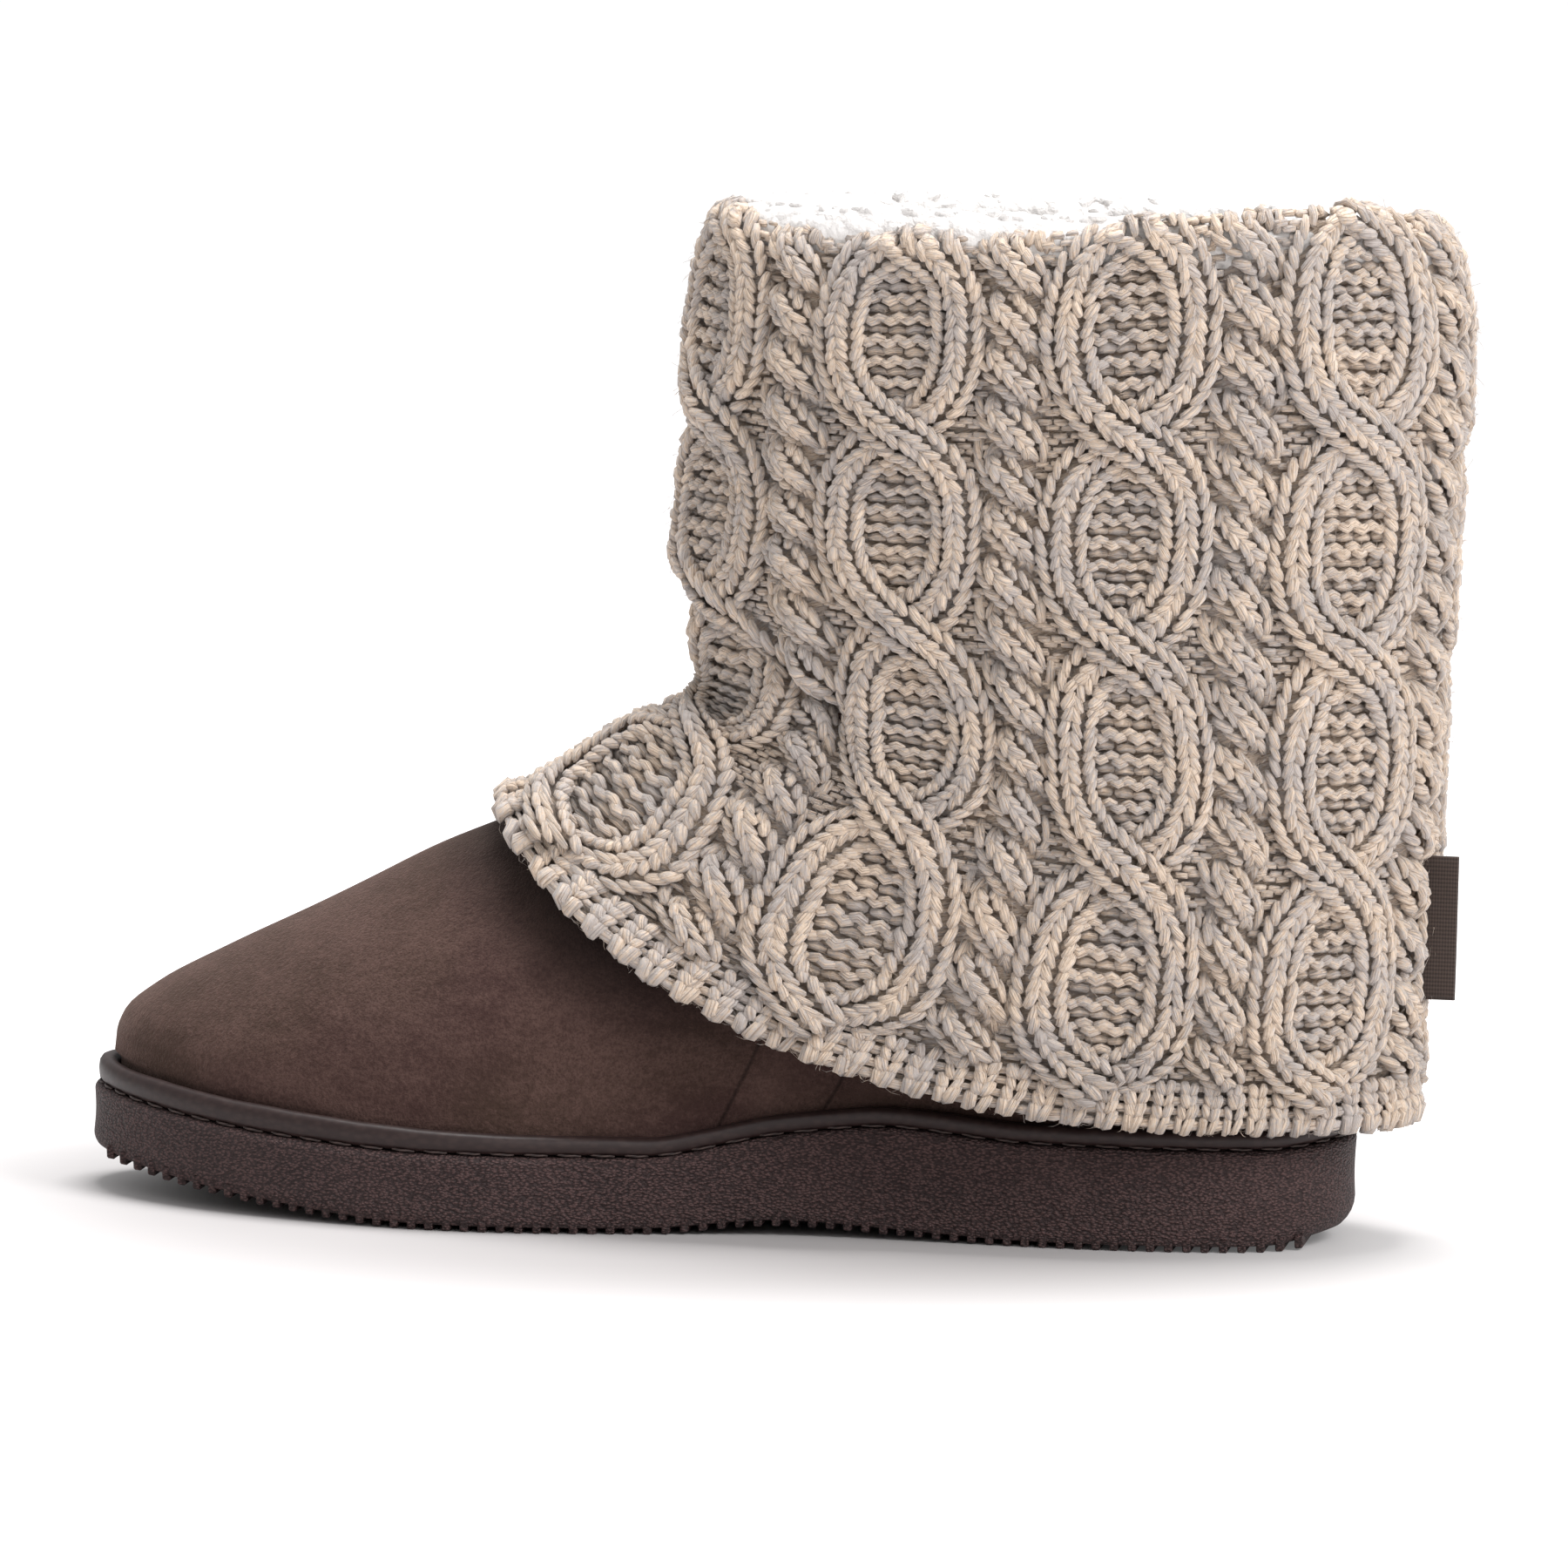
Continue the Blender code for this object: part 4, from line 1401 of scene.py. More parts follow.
@dataclass
class Upper:
    """The soft suede boot: one hollow wall with shallow seams where its panels meet."""

    form: ShoeForm
    hem: np.ndarray
    columns: int = 240
    foot_rows: int = 62
    shaft_rows: int = 22
    inner_rows: int = 26
    foot_top: float = 0.52
    swell: float = 0.0006
    swell_size: float = 0.034
    swell_clear: float = 0.004
    # Reach of the painted shadow below the cuff's hem
    shaded: float = 0.0240
    finish: SuedeFinish = SuedeFinish()

    def shade(self, wall: bpy.types.Object) -> None:
        """Store how near each place is to the cuff's hem, for the painted shadow that darkens the
        suede under it.

        Args:
            wall: The upper's finished wall.
        """
        co = np.empty(len(wall.data.vertices) * 3)
        wall.data.vertices.foreach_get("co", co)
        co = co.reshape(-1, 3)
        away = np.concatenate([
            np.linalg.norm(part[:, None] - self.hem[None], axis=2).min(axis=1)
            for part in np.array_split(co, 24)
        ])
        values = 1.0 - smooth(0.0, self.shaded, away)
        shade = wall.data.attributes.new("shade", "FLOAT", "POINT")
        shade.data.foreach_set("value", values.astype(np.float32))

    def wall(self) -> bpy.types.Object:
        """The upper's wall, its outer face from the sole to the collar and its inner back."""
        first = self.form.seat()
        low = np.linspace(first, self.foot_top, self.foot_rows)
        high = np.linspace(self.foot_top, 1.0, self.shaft_rows + 1)[1:]
        outer = np.array([self.form.upper_ring(h, self.columns) for h in (*low, *high)])
        around = np.roll(outer, -1, axis=1) - np.roll(outer, 1, axis=1)
        up = np.gradient(outer, axis=0)
        normal = unit(np.cross(around, up))
        if float((normal[-1] * (outer[-1] - outer[-1].mean(axis=0))).sum()) < 0:
            normal = -normal
        above_welt = outer[..., 2] - outer[0, :, 2] - self.form.welt_height
        clear = smooth(0.0, self.swell_clear, above_welt)
        out = lumps(outer, self.swell_size, 7.0) * self.swell
        outer = outer + normal * (out * clear)[..., None]
        inner_heights = np.linspace(1.0, first, self.inner_rows)
        inner = [self.form.upper_ring(h, self.columns, self.form.upper_wall) for h in inner_heights]
        return Workbench.sheet("upper_suede", np.concatenate([outer, np.array(inner)]), looped=True)

    def build(self) -> None:
        """Make the upper and dress it."""
        suede = self.finish.material("suede")
        wall = Workbench.place_in_shoe(self.wall(), suede, Slot.SUEDE, Node.UPPER)
        self.shade(wall)


@dataclass
class Fleece:
    """The white pile inside the boot, its roll over the collar, and the footbed."""

    form: ShoeForm
    columns: int = 260
    inner_rows: int = 46
    pile: float = 0.0048
    lump: float = 0.0016
    lump_size: float = 0.0065
    fine_lump_size: float = 0.0030
    roll: tuple[tuple[float, float, float], ...] = (
        (-0.0018, -0.0036, 0.1), (-0.0024, -0.0010, 0.3), (-0.0022, 0.0020, 0.6),
        (-0.0012, 0.0044, 0.9), (0.0010, 0.0058, 1.0), (0.0040, 0.0060, 1.0),
        (0.0066, 0.0044, 1.0),
    )
    roll_foot: float = -0.0040
    over_wall: float = 0.0004
    footbed_thickness: float = 0.0050
    footbed_edge: float = 0.0016
    footbed_dimple: float = 0.0006
    dimple_size: float = 0.006
    cap_rows: int = 12
    curl_count: int = 2500
    curl_length: float = 0.0011
    curl_thickness: float = 0.0029
    curl_root: float = -0.0010
    curl_rows: int = 40
    curl_depth: float = 0.12
    crown_insets: tuple[float, float] = (0.0008, 0.0044)
    crown_lift: float = 0.0050
    finish: FleeceFinish = FleeceFinish()

    def section(self) -> list[tuple[float, float, float, float]]:
        """Rings of the lining: the height share, inset, lift and share of the lumps."""
        wall, shaft = self.form.upper_wall + self.form.fit_gap, self.form.shaft_height
        floor = self.form.seat() + self.footbed_thickness / shaft
        gap, over = self.form.fit_gap, self.over_wall
        rings = [(h, wall, 0.0, 0.0) for h in np.linspace(floor, 0.997, 14)]
        rings += [(1.0, wall, over, 0.0), (1.0, -gap, over, 0.0), (1.0, -gap, self.roll_foot, 0.0)]
        rings += [(1.0, *row) for row in self.roll]
        rings += [(1.0, wall + self.pile, 0.0012, 1.0)]
        down = np.linspace(0.985, floor, self.inner_rows)
        return rings + [(h, wall + self.pile, 0.0, 1.0) for h in down]

    def lining(self) -> bpy.types.Object:
        """The lining, a closed layer whose free face is lumpy."""
        rings = []
        for height, inset, lift, _ in self.section():
            ring = self.form.upper_ring(float(height), self.columns, inset)
            ring[:, 2] += lift
            rings.append(ring)
        rings = np.array(rings)
        share = np.array([row[3] for row in self.section()])[:, None]
        push = lumps(rings, self.lump_size, 17.0) + 0.5 * lumps(rings, self.fine_lump_size, 29.0)
        push *= self.lump
        inward = np.stack([self.form.inward(ring[:, :2]) for ring in rings])
        rings[..., :2] += inward * (push * share)[..., None]
        rings[..., 2] += push * share * np.where(rings[..., 2] > self.form.shaft_height, 0.6, 0.1)
        return Workbench.sheet("fleece_lining", rings, looped=True)

    def curls(self) -> bpy.types.Object:
        """Loose curls of pile near the collar."""
        rng = np.random.default_rng(Seed.CURLS)
        heights = 1.0 - self.curl_depth * (np.arange(self.curl_rows) / (self.curl_rows - 1)) ** 1.5
        face_inset = self.form.upper_wall + self.form.fit_gap + self.pile - 0.0012
        rings = np.array([
            self.form.upper_ring(float(h), self.columns, face_inset) for h in heights
        ])
        top = np.array([self.form.upper_ring(1.0, self.columns, i) for i in self.crown_insets])
        top[..., 2] += self.crown_lift
        rings = np.concatenate([top, rings])
        inward = np.concatenate(
            [np.stack([self.form.inward(ring[:, :2]) for ring in rings]),
             np.zeros((*rings.shape[:2], 1))], axis=2)
        shaft = self.form.shaft_height
        lean = smooth(shaft + 0.001, shaft - 0.010, rings[..., 2])[..., None]
        face = unit(inward * (0.15 + lean) + np.array([0.0, 0.0, 1.0]) * (1.15 - lean))

        def place(column: np.ndarray, row: np.ndarray, out: np.ndarray) -> np.ndarray:
            """Put places around, down and out of the pile's face in space."""
            i = np.floor(column).astype(int)
            a = (column - i)[..., None]
            row = np.clip(row, 0.0, len(rings) - 1.001)
            j = row.astype(int)
            b = (row - j)[..., None]
            i0, i1 = i % self.columns, (i + 1) % self.columns
            point = ((rings[j, i0] * (1 - a) + rings[j, i1] * a) * (1 - b)
                     + (rings[j + 1, i0] * (1 - a) + rings[j + 1, i1] * a) * b)
            return point + face[j, i0] * out[..., None]

        count = self.curl_count
        column = rng.random(count) * self.columns
        row = rng.random(count) ** 1.6 * (len(rings) - 1)
        bend = rng.normal(size=(count, 2)) * np.array([1.3, 0.8])
        length = self.curl_length * (0.6 + 0.8 * rng.random(count))
        bends = np.zeros((count, 3, 3))
        bends[:, 0] = np.column_stack([column, row, np.full(count, self.curl_root)])
        bends[:, 1] = np.column_stack([column + bend[:, 0], row + bend[:, 1], length * 0.9])
        bends[:, 2] = np.column_stack([column + 2.2 * bend[:, 0], row + 1.6 * bend[:, 1],
                                       length * rng.random(count) * 0.8])
        thickness = self.curl_thickness * (0.7 + 0.7 * rng.random(count))
        spots = place(bends[..., 0], bends[..., 1], bends[..., 2])
        lines = Lines(spots, thickness, seed=Seed.CURLS_LAID, fullness=0.8, flatness=0.8)
        return Workbench.lay("fleece_curls", Workbench.thread(5, 4), lines,
                             lambda x, y, z: np.stack([x, y, z], axis=-1))

    def footbed(self) -> bpy.types.Object:
        """The soft footbed on the sole, crowned and dimpled."""
        inset = self.form.upper_inset() + self.form.upper_wall + self.form.fit_gap
        outline = self.form.outline(self.columns, inset)
        flat = Sole(self.form).flattened
        low = self.form.top(outline[:, 0]) + self.form.fit_gap
        rings = [np.column_stack([flat(outline, i / 6), low]) for i in range(7)]
        for i in range(5):
            angle = math.radians(90.0 * (i + 1) / 5)
            inset_more = self.footbed_edge * (1.0 - math.cos(angle))
            rise = self.footbed_thickness * (0.45 + 0.45 * math.sin(angle))
            plan = self.form.outline(self.columns, inset + inset_more)
            rings.append(np.column_stack([plan, self.form.top(plan[:, 0]) + rise]))
        edge = rings[-1]
        for i in reversed(range(self.cap_rows)):
            plan = flat(edge[:, :2], i / self.cap_rows)
            level = self.form.top(plan[:, 0]) + self.footbed_thickness * 0.9
            rings.append(np.column_stack([plan, level]))
        rings = np.array(rings)
        crown = lumps(rings, self.dimple_size, 5.0) * self.footbed_dimple
        crown[:8] = 0.0
        cap = crown[-self.cap_rows:]
        crown[-self.cap_rows:] = (cap + np.roll(cap[:, ::-1], 1, axis=1)) / 2.0
        rings[..., 2] += crown
        return Workbench.sheet("footbed", rings)

    def build(self) -> None:
        """Make the fleece pieces and dress them."""
        pile = self.finish.material("fleece")
        footbed = Workbench.place_in_shoe(self.footbed(), pile, Slot.FLEECE, Node.INSOLE)
        Workbench.place_in_shoe(self.lining(), pile, Slot.FLEECE)
        Workbench.place_in_shoe(self.curls(), pile, Slot.FLEECE)


class BumpRow(NamedTuple):
    """A level row of purl bumps: its arch, shift, drop, height and share of the pitch."""

    arch: float
    shift: float
    below: float
    high: float
    breadth: float


@dataclass
class Cuff:
    """The cable-knit cuff: a dense wall with its stitches laid on it, yarn by yarn."""

    surface: CuffSurface
    # Units round the cuff, rows down it and columns in the hem
    units: int = 8
    unit: float = 0.0495
    rows: int = 62
    hem_rows: int = 3
    hem_columns: int = 18
    # Ropes, whose two strands swing and dive by turns
    rope_breadth: float = 0.0137
    rope_period_rows: int = 8
    rope_swing: float = 0.0042
    rope_depth: float = 0.0040
    rope_height: float = 0.0024
    rope_wale: float = 0.0042
    # Strands that part round the ovals, and how deep all yarn is set in
    sink: float = 0.0022
    strand_breadth: float = 0.0106
    oval_breadth: float = 0.0370
    oval_height: float = 0.0447
    oval_fullness: float = 1.5
    first_oval_drop: float = 0.0205
    crest: float = 0.0050
    crossing_lift: float = 0.0027
    # Yarn, stitches and the three places of a leg: along the stitch, across the wale and out
    yarn: float = 0.00242
    stitch: float = 0.00264
    leg: tuple[tuple[float, float, float], ...] = (
        (-0.27, 0.46, -0.0009), (0.42, 0.38, 0.0010), (1.18, 0.11, -0.0007))
    strand_crown: float = 1.35
    rope_crown: float = 1.12
    rope_yarn: float = 0.96
    # How far hand work puts the yarn off its place, and how flat it lies at the rim
    shake: tuple[float, float, float] = (0.00022, 0.00018, 0.00014)
    kink: float = 0.00006
    rim_press: float = 0.009
    pressed_height: float = 0.0006
    # Garter stitch in the ovals and purl stitch beside them
    garter_yarn: float = 0.00242
    garter_ridge: float = 0.0049
    garter_pitch: float = 0.0043
    garter_rows: tuple[BumpRow, ...] = (
        BumpRow(0.0009, 0.0, 0.0, 0.0019, 0.80),
        BumpRow(-0.0009, 0.5, 0.0013, 0.0019, 0.80),
        BumpRow(0.0005, 0.25, 0.0029, 0.0004, 1.10),
    )
    purl_yarn: float = 0.00190
    purl_pitch: float = 0.0036
    purl_arch: float = 0.0010
    purl_height: float = 0.0006
    bump_foot: float = 0.0006
    bump_top: float = 0.0011
    # Ribs and rungs of the hem
    hem_height: float = 0.0030
    hem_breadth: float = 1.10
    rung_height: float = 0.0009
    rung_breadth: float = 1.45
    rung_arch: float = 0.0012
    hem_unevenness: float = 0.14
    # The wall behind the stitches, which swells under strands and ropes
    strand_relief: float = 0.0037
    strand_bury: float = 0.0018
    rope_relief: float = 0.0052
    rope_swell: float = 0.0016
    ground: float = -0.0008
    wall_columns: int = 320
    wall_rows: int = 84
    # Loose fibres
    fuzz_count: int = 9500
    fuzz_lean: float = 0.0016
    fuzz_hem_share: float = 0.12
    fuzz_thickness: float = 0.00009
    nudge: float = 0.0004
    finish: YarnFinish = YarnFinish()

    def __post_init__(self) -> None:
        """Work out the lengths that follow from the sizes."""
        self.row = (self.surface.end - self.surface.top) / self.rows
        self.cable_drop = self.surface.end - self.row * self.hem_rows
        self.first_drop = self.surface.top - 1.5 * self.row
        self.last_drop = self.cable_drop + 0.9 * self.row
        self.rope_middle = self.rope_breadth / 2.0
        self.oval_middle = self.rope_middle + self.unit / 2.0
        self.half_apart = (self.oval_breadth - self.strand_breadth) / 2.0

    def sway(self, drop: np.ndarray) -> tuple[np.ndarray, np.ndarray]:
        """How far apart the strands are, from 1 to -1, and how much each is in front."""
        turn = math.pi * (drop - self.first_oval_drop) / self.oval_height
        away = np.cos(turn)
        apart = np.tanh(self.oval_fullness * away) / math.tanh(self.oval_fullness)
        return apart, np.sin(turn)

    def strand(self, drop: np.ndarray, sign: float) -> tuple[np.ndarray, np.ndarray]:
        """Middle and height of one of an oval's two strands."""
        apart, front = self.sway(drop)
        near = (1.0 - np.abs(apart)) ** 1.3
        lift = self.crossing_lift * near * np.sign(sign * front) * np.abs(front)
        back = np.where(lift < 0.0, 0.75, 1.0)
        return self.oval_middle + sign * self.half_apart * apart, self.crest + lift * back

    def rope(self, drop: np.ndarray, turned: float) -> tuple[np.ndarray, np.ndarray]:
        """Middle and height of one of a rope's two strands."""
        turn = TAU * drop / (self.row * self.rope_period_rows) + turned
        height = self.rope_height + self.rope_depth * np.sin(turn)
        return self.rope_middle + self.rope_swing * np.cos(turn), height

    def wale_legs(self, path: Callable[[np.ndarray], tuple[np.ndarray, np.ndarray]],
                  offset: float, breadth: float, crown: float, first: float, last: float,
                  keep: Callable[[np.ndarray], np.ndarray] | None = None) -> np.ndarray:
        """The two leaning legs of each stitch in one wale.

        Args:
            path: Middle and height of the strand by drop.
            offset: The wale's place across the strand.
            breadth: The wale's breadth.
            crown: Half the strand's breadth, by which its sides fall away.
            first: Drop of the first stitch.
            last: Drop of the last.
            keep: Which stitches show, by their drop.

        Returns:
            Bends of the legs, by three places around, down and out.
        """
        fine = np.linspace(first - 2.0 * self.row, last + 2.0 * self.row, 1600)
        steps = np.hypot(np.diff(path(fine)[0]), np.diff(fine))
        walked = np.concatenate([[0.0], np.cumsum(steps)])
        low, high = np.interp((first, last), fine, walked)
        starts = np.linspace(low, high, round((high - low) / self.stitch) + 1)[:-1]
        if keep is not None:
            starts = starts[keep(np.interp(starts + 0.5 * self.stitch, walked, fine))]
        legs = []
        for side in (-1.0, 1.0):
            bends = []
            for t, reach, lift in self.leg:
                drop = np.interp(starts + t * self.stitch, walked, fine)
                middle, height = path(drop)
                ahead, behind = path(drop + self.nudge)[0], path(drop - self.nudge)[0]
                slope = (ahead - behind) / (2.0 * self.nudge)
                length = np.sqrt(1.0 + slope**2)
                across = offset + side * reach * breadth
                fall = height * (1.0 - np.sqrt(max(0.0, 1.0 - (across / crown) ** 2)))
                bends.append(np.column_stack([
                    middle + across / length,
                    drop - across * slope / length,
                    height - fall + lift - self.yarn * 0.3,
                ]))
            legs.append(np.stack(bends, axis=1))
        return np.concatenate(legs)

    def over_units(self, bends: np.ndarray) -> np.ndarray:
        """Copy one unit's lines to all the units round the cuff."""
        shifts = np.arange(self.units) * self.unit
        copies = np.repeat(bends[None], self.units, axis=0)
        copies[..., 0] += shifts[:, None, None]
        return copies.reshape(-1, 3, 3)

    def laid(self, name: str, bends: np.ndarray, thickness: float, seed: int,
             unevenness: float = 0.10, rings: int = 5) -> bpy.types.Object:
        """Lay lines on the cuff, each a little off its place and thickness.

        Args:
            name: The piece's name.
            bends: The lines, by places around, down and out.
            thickness: The yarn's thickness.
            seed: Start of the random draws.
            unevenness: How much the thickness varies.
            rings: Faces along each bit.

        Returns:
            The piece.
        """
        rng = np.random.default_rng(seed)
        top = self.surface.top
        near_rim = smooth(top - self.row, top + self.rim_press, bends[..., 1])
        near_hem = smooth(self.cable_drop, self.surface.end, bends[..., 1])
        bends[..., 2] *= 0.35 + 0.65 * near_rim
        bends[..., 2] += self.pressed_height * (1.0 - near_rim)
        bends[..., 2] -= self.sink * near_rim * (1.0 - 0.6 * near_hem)
        shake = rng.normal(size=(len(bends), 1, 3)) * np.array(self.shake)
        kinks = rng.normal(size=(len(bends), 3, 3)) * self.kink
        thick = thickness * (1.0 + unevenness * rng.normal(size=len(bends)))
        lines = Lines(bends + shake + kinks, thick, seed=seed, fullness=0.52)
        return Workbench.lay(name, Workbench.thread(6, rings), lines, self.surface.place)

    def strands(self, name: str, sign: float) -> bpy.types.Object:
        """One of the two strands that part round the ovals and cross between them.

        Args:
            name: The piece's name.
            sign: Which of the two, 1 or -1.

        Returns:
            The strand.
        """
        half = self.strand_breadth / 2.0
        legs = [
            self.wale_legs(
                lambda drop: self.strand(drop, sign), offset, half, half * self.strand_crown,
                self.first_drop, self.last_drop, lambda drop: self.shown(drop, sign))
            for offset in (-half / 2.0, half / 2.0)
        ]
        seed = Seed.FIRST_STRANDS if sign > 0.0 else Seed.SECOND_STRANDS
        return self.laid(name, self.over_units(np.concatenate(legs)), self.yarn, seed)

    def shown(self, drop: np.ndarray, sign: float) -> np.ndarray:
        """Whether a strand's stitch isn't wholly under the other strand."""
        apart, front = self.sway(drop)
        return ~((np.abs(apart) < 0.12) & (sign * front < 0.0))

    def ropes(self) -> bpy.types.Object:
        """The tightly twisted ropes between the ovals."""
        legs = []
        for turned in (0.0, math.pi):
            for side in (-0.5, 0.5):
                legs.append(self.wale_legs(
                    lambda drop, p=turned: self.rope(drop, p), side * self.rope_wale,
                    self.rope_wale, self.rope_wale * self.rope_crown,
                    self.first_drop, self.cable_drop,
                    lambda drop, p=turned: self.rope(drop, p)[1]
                    > self.rope_height - 0.30 * self.rope_depth))
        bends = self.over_units(np.concatenate(legs))
        return self.laid("cuff_ropes", bends, self.yarn * self.rope_yarn, Seed.ROPES)

    def bumps(self, middles: np.ndarray, drops: np.ndarray, heights: np.ndarray, breadth: float,
              arch: float) -> np.ndarray:
        """Purl bumps: short level lines that arch up or sag, one for each place.

        Args:
            middles: Places around.
            drops: Places down.
            heights: Places out.
            breadth: Each bump's length.
            arch: How far it arches up, or sags if negative.

        Returns:
            The bumps' bends.
        """
        half = breadth / 2.0
        left = np.column_stack([middles - half, drops + arch, heights - self.bump_foot])
        top = np.column_stack([middles, drops - arch, heights + self.bump_top])
        right = np.column_stack([middles + half, drops + arch, heights - self.bump_foot])
        return np.stack([left, top, right], axis=1)

    def bump_rows(self, drops: np.ndarray, pitch: float, rows: tuple[BumpRow, ...],
                  room: Callable[[float], tuple[float, float]]) -> np.ndarray:
        """Level rows of purl bumps about the ovals' middle lines, all round the cuff.

        Args:
            drops: Drops at which the rows start again.
            pitch: From one bump of a row to the next.
            rows: The rows that repeat.
            room: How near and how far from the middle line bumps lie, by the strands' place.

        Returns:
            The bumps' bends.
        """
        found = []
        for drop in drops:
            for row in rows:
                place = drop + row.below
                near, far = room(abs(float(self.sway(np.array(place))[0])) * self.half_apart)
                columns = np.arange(-6, 7) + row.shift
                away = np.abs(columns * pitch)
                columns = columns[(away >= near) & (away < far)]
                if len(columns):
                    middles = self.oval_middle + columns * pitch
                    spots, heights = (np.full(len(columns), value) for value in (place, row.high))
                    found.append(self.bumps(middles, spots, heights, row.breadth * pitch, row.arch))
        return self.over_units(np.concatenate(found))

    def garter(self) -> bpy.types.Object:
        """Ridges of interlocked bumps inside the ovals."""
        drops = np.arange(self.first_drop, self.cable_drop, self.garter_ridge)
        bends = self.bump_rows(drops, self.garter_pitch, self.garter_rows,
                               lambda apart: (0.0, apart - 0.30 * self.strand_breadth))
        return self.laid("cuff_garter", bends, self.garter_yarn, Seed.GARTER, rings=4)

    def purl(self) -> bpy.types.Object:
        """Fine reverse stitches in the valleys beside the ovals and the ropes."""
        drops = self.surface.top + self.row * np.arange(-1, self.rows - self.hem_rows)
        edge = (self.unit - self.rope_breadth) / 2.0 + 0.0010
        rows = (
            BumpRow(self.purl_arch, 0.0, 0.0, self.purl_height, 1.0),
            BumpRow(-self.purl_arch, 0.5, 0.5 * self.row, self.purl_height, 1.0),
        )
        bends = self.bump_rows(drops, self.purl_pitch, rows,
                               lambda apart: (apart + 0.46 * self.strand_breadth, edge))
        return self.laid("cuff_purl", bends, self.purl_yarn, Seed.PURL, rings=3)

    def hem(self) -> bpy.types.Object:
        """The ribbed hem, whose last stitches turn under the edge."""
        pitch = self.unit / self.hem_columns
        last = self.surface.end + 0.75 * self.row
        drops = self.cable_drop + self.row * (np.arange(self.hem_rows + 1) + 0.3)
        heights = np.full(len(drops), self.rung_height)
        stitches = []
        for column in range(self.hem_columns):
            middle = (column + 0.5) * pitch
            if column % 2 == 0:
                stitches.append(self.wale_legs(
                    lambda drop, m=middle: (drop * 0.0 + m, drop * 0.0 + self.hem_height),
                    0.0, pitch * self.hem_breadth, pitch * 2.0, self.cable_drop, last))
            else:
                middles = np.full(len(drops), middle)
                stitches.append(self.bumps(middles, drops, heights, pitch * self.rung_breadth,
                                           self.rung_arch))
        bends = self.over_units(np.concatenate(stitches))
        return self.laid("cuff_hem_rib", bends, self.yarn, Seed.HEM, self.hem_unevenness)

    def relief(self, around: np.ndarray, drop: np.ndarray) -> np.ndarray:
        """How far the wall under the stitches swells under strands and ropes.

        Args:
            around: Places around.
            drop: Places down.

        Returns:
            Metres out.
        """
        place = around % self.unit
        out = np.zeros(np.broadcast(around, drop).shape)
        for sign in (-1.0, 1.0):
            middle, height = self.strand(drop, sign)
            away = (place - middle + self.unit / 2.0) % self.unit - self.unit / 2.0
            swell = np.exp(-((away / self.strand_relief) ** 4))
            out = np.maximum(out, (height - self.strand_bury) * swell)
        away = (place - self.rope_middle + self.unit / 2.0) % self.unit - self.unit / 2.0
        out = np.maximum(out, self.rope_swell * np.exp(-((away / self.rope_relief) ** 4)))
        fade = 1.0 - smooth(self.cable_drop - self.row, self.cable_drop + self.row, drop)
        return out * fade + self.pressed_height * (1.0 - fade) + self.ground - self.sink

    def wall(self) -> bpy.types.Object:
        """The dense wall behind the stitches, closed over the rim and the hem."""
        around = np.arange(self.wall_columns) / self.wall_columns * self.surface.around
        roll = math.pi * self.surface.reach
        over = np.linspace(-roll, 0.0, 7)[:-1]
        top, end = self.surface.top, self.surface.end
        drops = np.concatenate([top + over, np.linspace(top, end, self.wall_rows),
                                end - over[::-1]])
        u, v = np.meshgrid(around, drops)
        hold = smooth(top, top + 0.006, v) * (1.0 - smooth(end - 0.002, end, v))
        raised = self.relief(u, np.clip(v, top, end)) - self.ground
        outer = self.surface.place(u, v, self.ground + raised * hold)
        back = np.linspace(end, top, 16)[1:-1]
        u, v = np.meshgrid(around, back)
        inner = self.surface.place(u, v, np.full(u.shape, -self.surface.wall))
        return Workbench.sheet("cuff_wall", np.concatenate([outer, inner]), looped=True)

    def fuzz(self) -> bpy.types.Object:
        """Loose fibres that stand off the yarn all over, more at the hem."""
        count = self.fuzz_count
        rng = np.random.default_rng(Seed.FUZZ)
        around = rng.random(count) * self.surface.around
        drop = self.surface.top + rng.random(count) * (self.surface.end - self.surface.top)
        at_hem = rng.random(count) < self.fuzz_hem_share
        drop = np.where(at_hem, self.surface.end + rng.random(count) * 0.003, drop)
        lean = rng.normal(size=(count, 2)) * self.fuzz_lean
        length = 0.0007 + 0.0015 * rng.random(count) ** 2
        base = self.relief(around, drop) + 0.0026
        bends = np.stack([
            np.column_stack([around + lean[:, 0] * lie, drop + lean[:, 1] * lie, base + out])
            for lie, out in ((0.0, -0.0004), (0.3, length), (1.5, length * 1.1))
        ], axis=1)
        lines = Lines(bends, np.full(count, self.fuzz_thickness), seed=Seed.FUZZ_LAID,
                      fullness=0.4, flatness=1.0)
        return Workbench.lay("cuff_fuzz", Workbench.thread(3, 3), lines, self.surface.place)

    def build(self) -> None:
        """Make the cuff's pieces and dress them."""
        yarn = self.finish.material("knit_yarn")
        # The wall's yarn is a darker copy, painted shade for the yarn deep behind the stitches
        deep = self.finish.material("knit_ground_shaded", 0.80)
        Workbench.place_in_shoe(self.wall(), deep, Slot.KNIT, Node.CUFF)
        for name, sign in (("cuff_strands_first", 1.0), ("cuff_strands_second", -1.0)):
            Workbench.place_in_shoe(self.strands(name, sign), yarn, Slot.KNIT)
        for make in (self.ropes, self.garter, self.purl, self.hem, self.fuzz):
            Workbench.place_in_shoe(make(), yarn, Slot.KNIT)


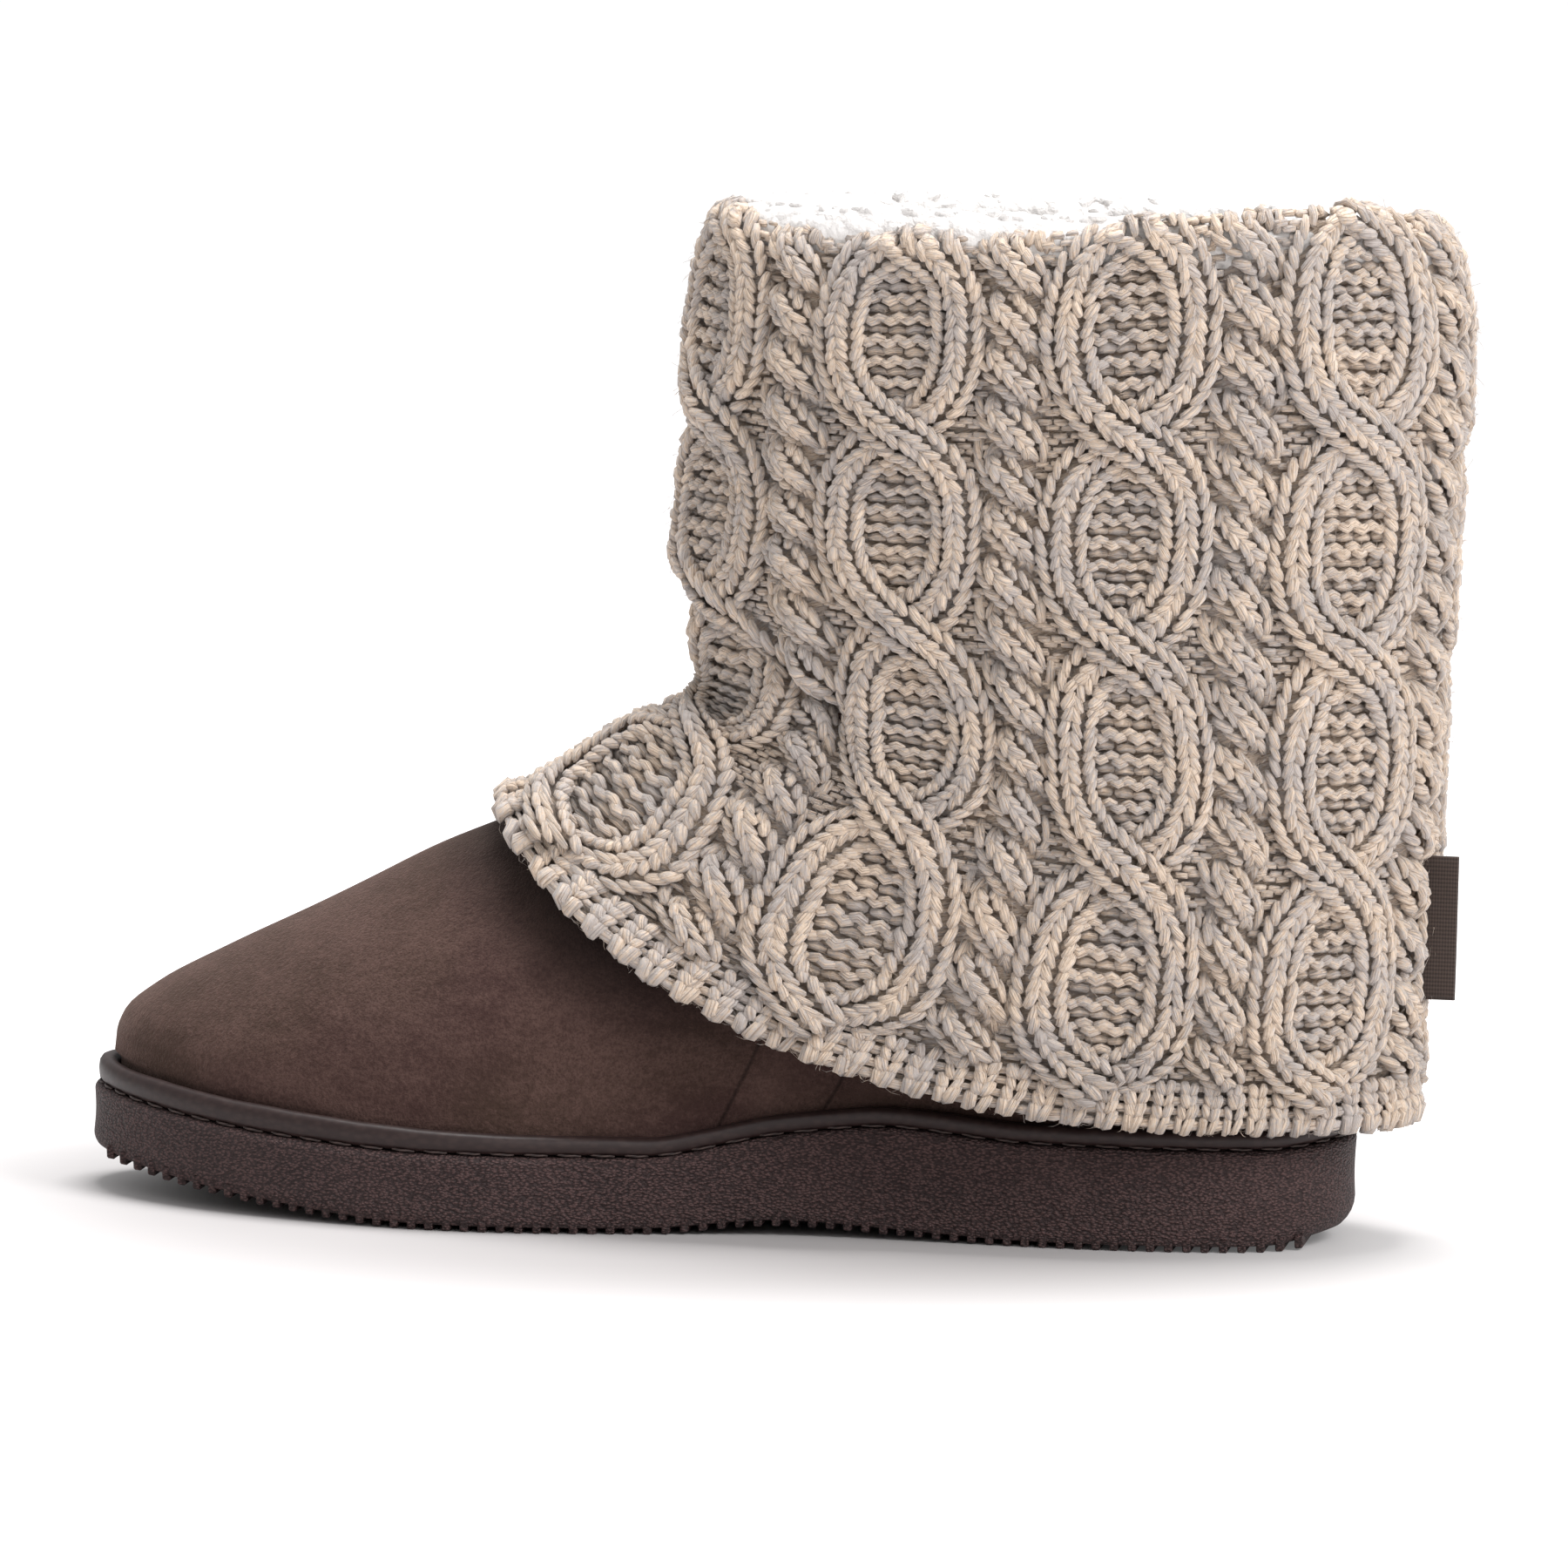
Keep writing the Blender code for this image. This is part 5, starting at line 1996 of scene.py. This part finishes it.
@dataclass
class BackTag:
    """The bare woven tape, folded in two and caught in the cuff's back seam."""

    finish: TapeFinish = TapeFinish()
    rows: int = 16
    steps: int = 7
    wave: float = 0.0003
    caught: float = 0.0016
    pinch: float = 0.86

    def build(self) -> None:
        """Make the tag inside its solid's box and dress it."""
        low, high = (np.array(corner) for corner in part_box(Node.TAG.value))
        middle = (low[1] + high[1]) / 2.0
        half = (high[1] - low[1]) / 2.0
        root, tip = low[0] - self.caught, high[0]
        shares = np.linspace(0.0, 1.0, self.steps)
        side = [(root + (tip - half - root) * t, half * (self.pinch + (1.0 - self.pinch) * t))
                for t in shares]
        turns = np.radians(np.linspace(-70.0, 70.0, self.steps))
        fold = [(tip - half + half * math.cos(a), half * math.sin(a)) for a in turns]
        section = [*((x, -y) for x, y in side), *fold, *side[::-1]]
        rings = []
        for t in (0.0, *np.linspace(0.0, 1.0, self.rows), 1.0):
            z = low[2] + (high[2] - low[2]) * t
            sway = self.wave * math.sin(TAU * t * 0.8)
            rings.append([
                (x, middle + y + sway * (x - root) / (tip - root), z) for x, y in section
            ])
        rings = np.array(rings)
        for end in (0, -1):
            rings[end, :, 1] = rings[end, :, 1].mean()
        tag = Workbench.sheet("back_tag_tape", rings)
        Workbench.place_in_shoe(tag, self.finish.material("woven_tape"), Slot.TAPE, Node.TAG)


@dataclass
class Studio:
    """The pale floor, the soft lights and the camera."""

    azimuth: float = math.radians(8.0)
    elevation: float = math.radians(6.0)
    roll: float = math.radians(1.5)
    distance: float = 2.5
    target: tuple[float, float, float] = (-0.0867, 0.0, 0.0904)
    frame_width: float = 0.3276
    sensor: float = 36.0
    floor_half: float = 9.0
    floor_colour: Colour = (0.50, 0.48, 0.48)
    world_strength: float = 0.52
    glow_shape: tuple[float, float, float] = (0.80, 0.85, 1.0)
    glow_centre: tuple[float, float, float] = (-0.086, 0.0, 0.0)
    glow_from: float = 0.07
    glow_to: float = 0.20
    glow: float = 0.75
    lights: tuple[tuple[str, tuple[float, float, float], float, float], ...] = (
        ("key", (1.15, -0.75, 1.15), 0.7, 21.0),
        ("front", (0.20, -1.70, 0.90), 0.9, 4.5),
        ("top", (-0.08, 0.27, 1.60), 0.8, 28.5),
    )

    def camera(self) -> None:
        """Stand the camera at the photograph's angle."""
        outward = Vector((
            math.sin(self.azimuth) * math.cos(self.elevation),
            -math.cos(self.azimuth) * math.cos(self.elevation),
            math.sin(self.elevation),
        ))
        data = bpy.data.cameras.new("camera")
        camera = bpy.data.objects.new("camera", data)
        bpy.context.collection.objects.link(camera)
        data.sensor_width = self.sensor
        data.lens = self.sensor * self.distance / self.frame_width
        data.clip_end = 50.0
        right = Vector((0.0, 0.0, 1.0)).cross(outward).normalized()
        up = outward.cross(right)
        turned_right = right * math.cos(self.roll) + up * math.sin(self.roll)
        turned_up = up * math.cos(self.roll) - right * math.sin(self.roll)
        axes = Matrix((turned_right, turned_up, outward)).transposed().to_4x4()
        spot = Vector(self.target) + outward * self.distance
        camera.matrix_world = Matrix.Translation(spot) @ axes
        bpy.context.scene.camera = camera

    def floor(self) -> None:
        """Lay the floor."""
        Workbench.clear_selection()
        bpy.ops.mesh.primitive_plane_add(size=2.0 * self.floor_half)
        floor = bpy.context.active_object
        floor.name = "floor"
        paint = Paint("floor")
        # The floor glows more the farther it is from the shoe: painted light that whitens the far
        # floor and fades the shoe's shadow there
        away = paint.node("ShaderNodeVectorMath", {"operation": "DISTANCE"},
                          {0: paint.place(self.glow_shape), 1: self.glow_centre})
        glow = Field(paint, away.outputs["Value"]).within(self.glow_from, self.glow_to)
        floor.data.materials.append(paint.done({
            "Base Color": self.floor_colour,
            "Roughness": 0.6,
            "Specular IOR Level": 0.2,
            "Emission Color": paint.blend(glow, (0.0, 0.0, 0.0), (1.0, 1.0, 1.0)),
            "Emission Strength": self.glow,
        }))

    def light(self, name: str, place: tuple[float, float, float], size: float,
              power: float) -> None:
        """Hang one soft square light that faces the shoe.

        Args:
            name: The light's name.
            place: Where it hangs.
            size: Its side.
            power: Its power in watts.
        """
        data = bpy.data.lights.new(name, "AREA")
        data.size = size
        data.energy = power
        lamp = bpy.data.objects.new(name, data)
        bpy.context.collection.objects.link(lamp)
        lamp.location = place
        aim = Vector(self.target) - Vector(place)
        lamp.rotation_euler = aim.to_track_quat("-Z", "Y").to_euler()

    def build(self) -> None:
        """Set the studio up."""
        self.floor()
        world = bpy.data.worlds.new("studio")
        world.use_nodes = True
        sky = world.node_tree.nodes["Background"]
        sky.inputs["Color"].default_value = (1.0, 1.0, 1.0, 1.0)
        sky.inputs["Strength"].default_value = self.world_strength
        bpy.context.scene.world = world
        for light in self.lights:
            self.light(*light)
        bpy.context.scene.view_settings.view_transform = "Standard"
        self.camera()


def main() -> None:
    """Build the shoe around its frame and set up the studio."""
    logging.basicConfig(level=logging.INFO, format="%(name)s %(message)s")
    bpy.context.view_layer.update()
    form = ShoeForm()
    surface = CuffSurface(form)
    for part in (Sole(form), Welt(form), Upper(form, surface.points[-1]), Fleece(form),
                 Cuff(surface), BackTag(), Studio()):
        part.build()
        log.info("%s done", type(part).__name__)


if __name__ == "__main__":
    main()
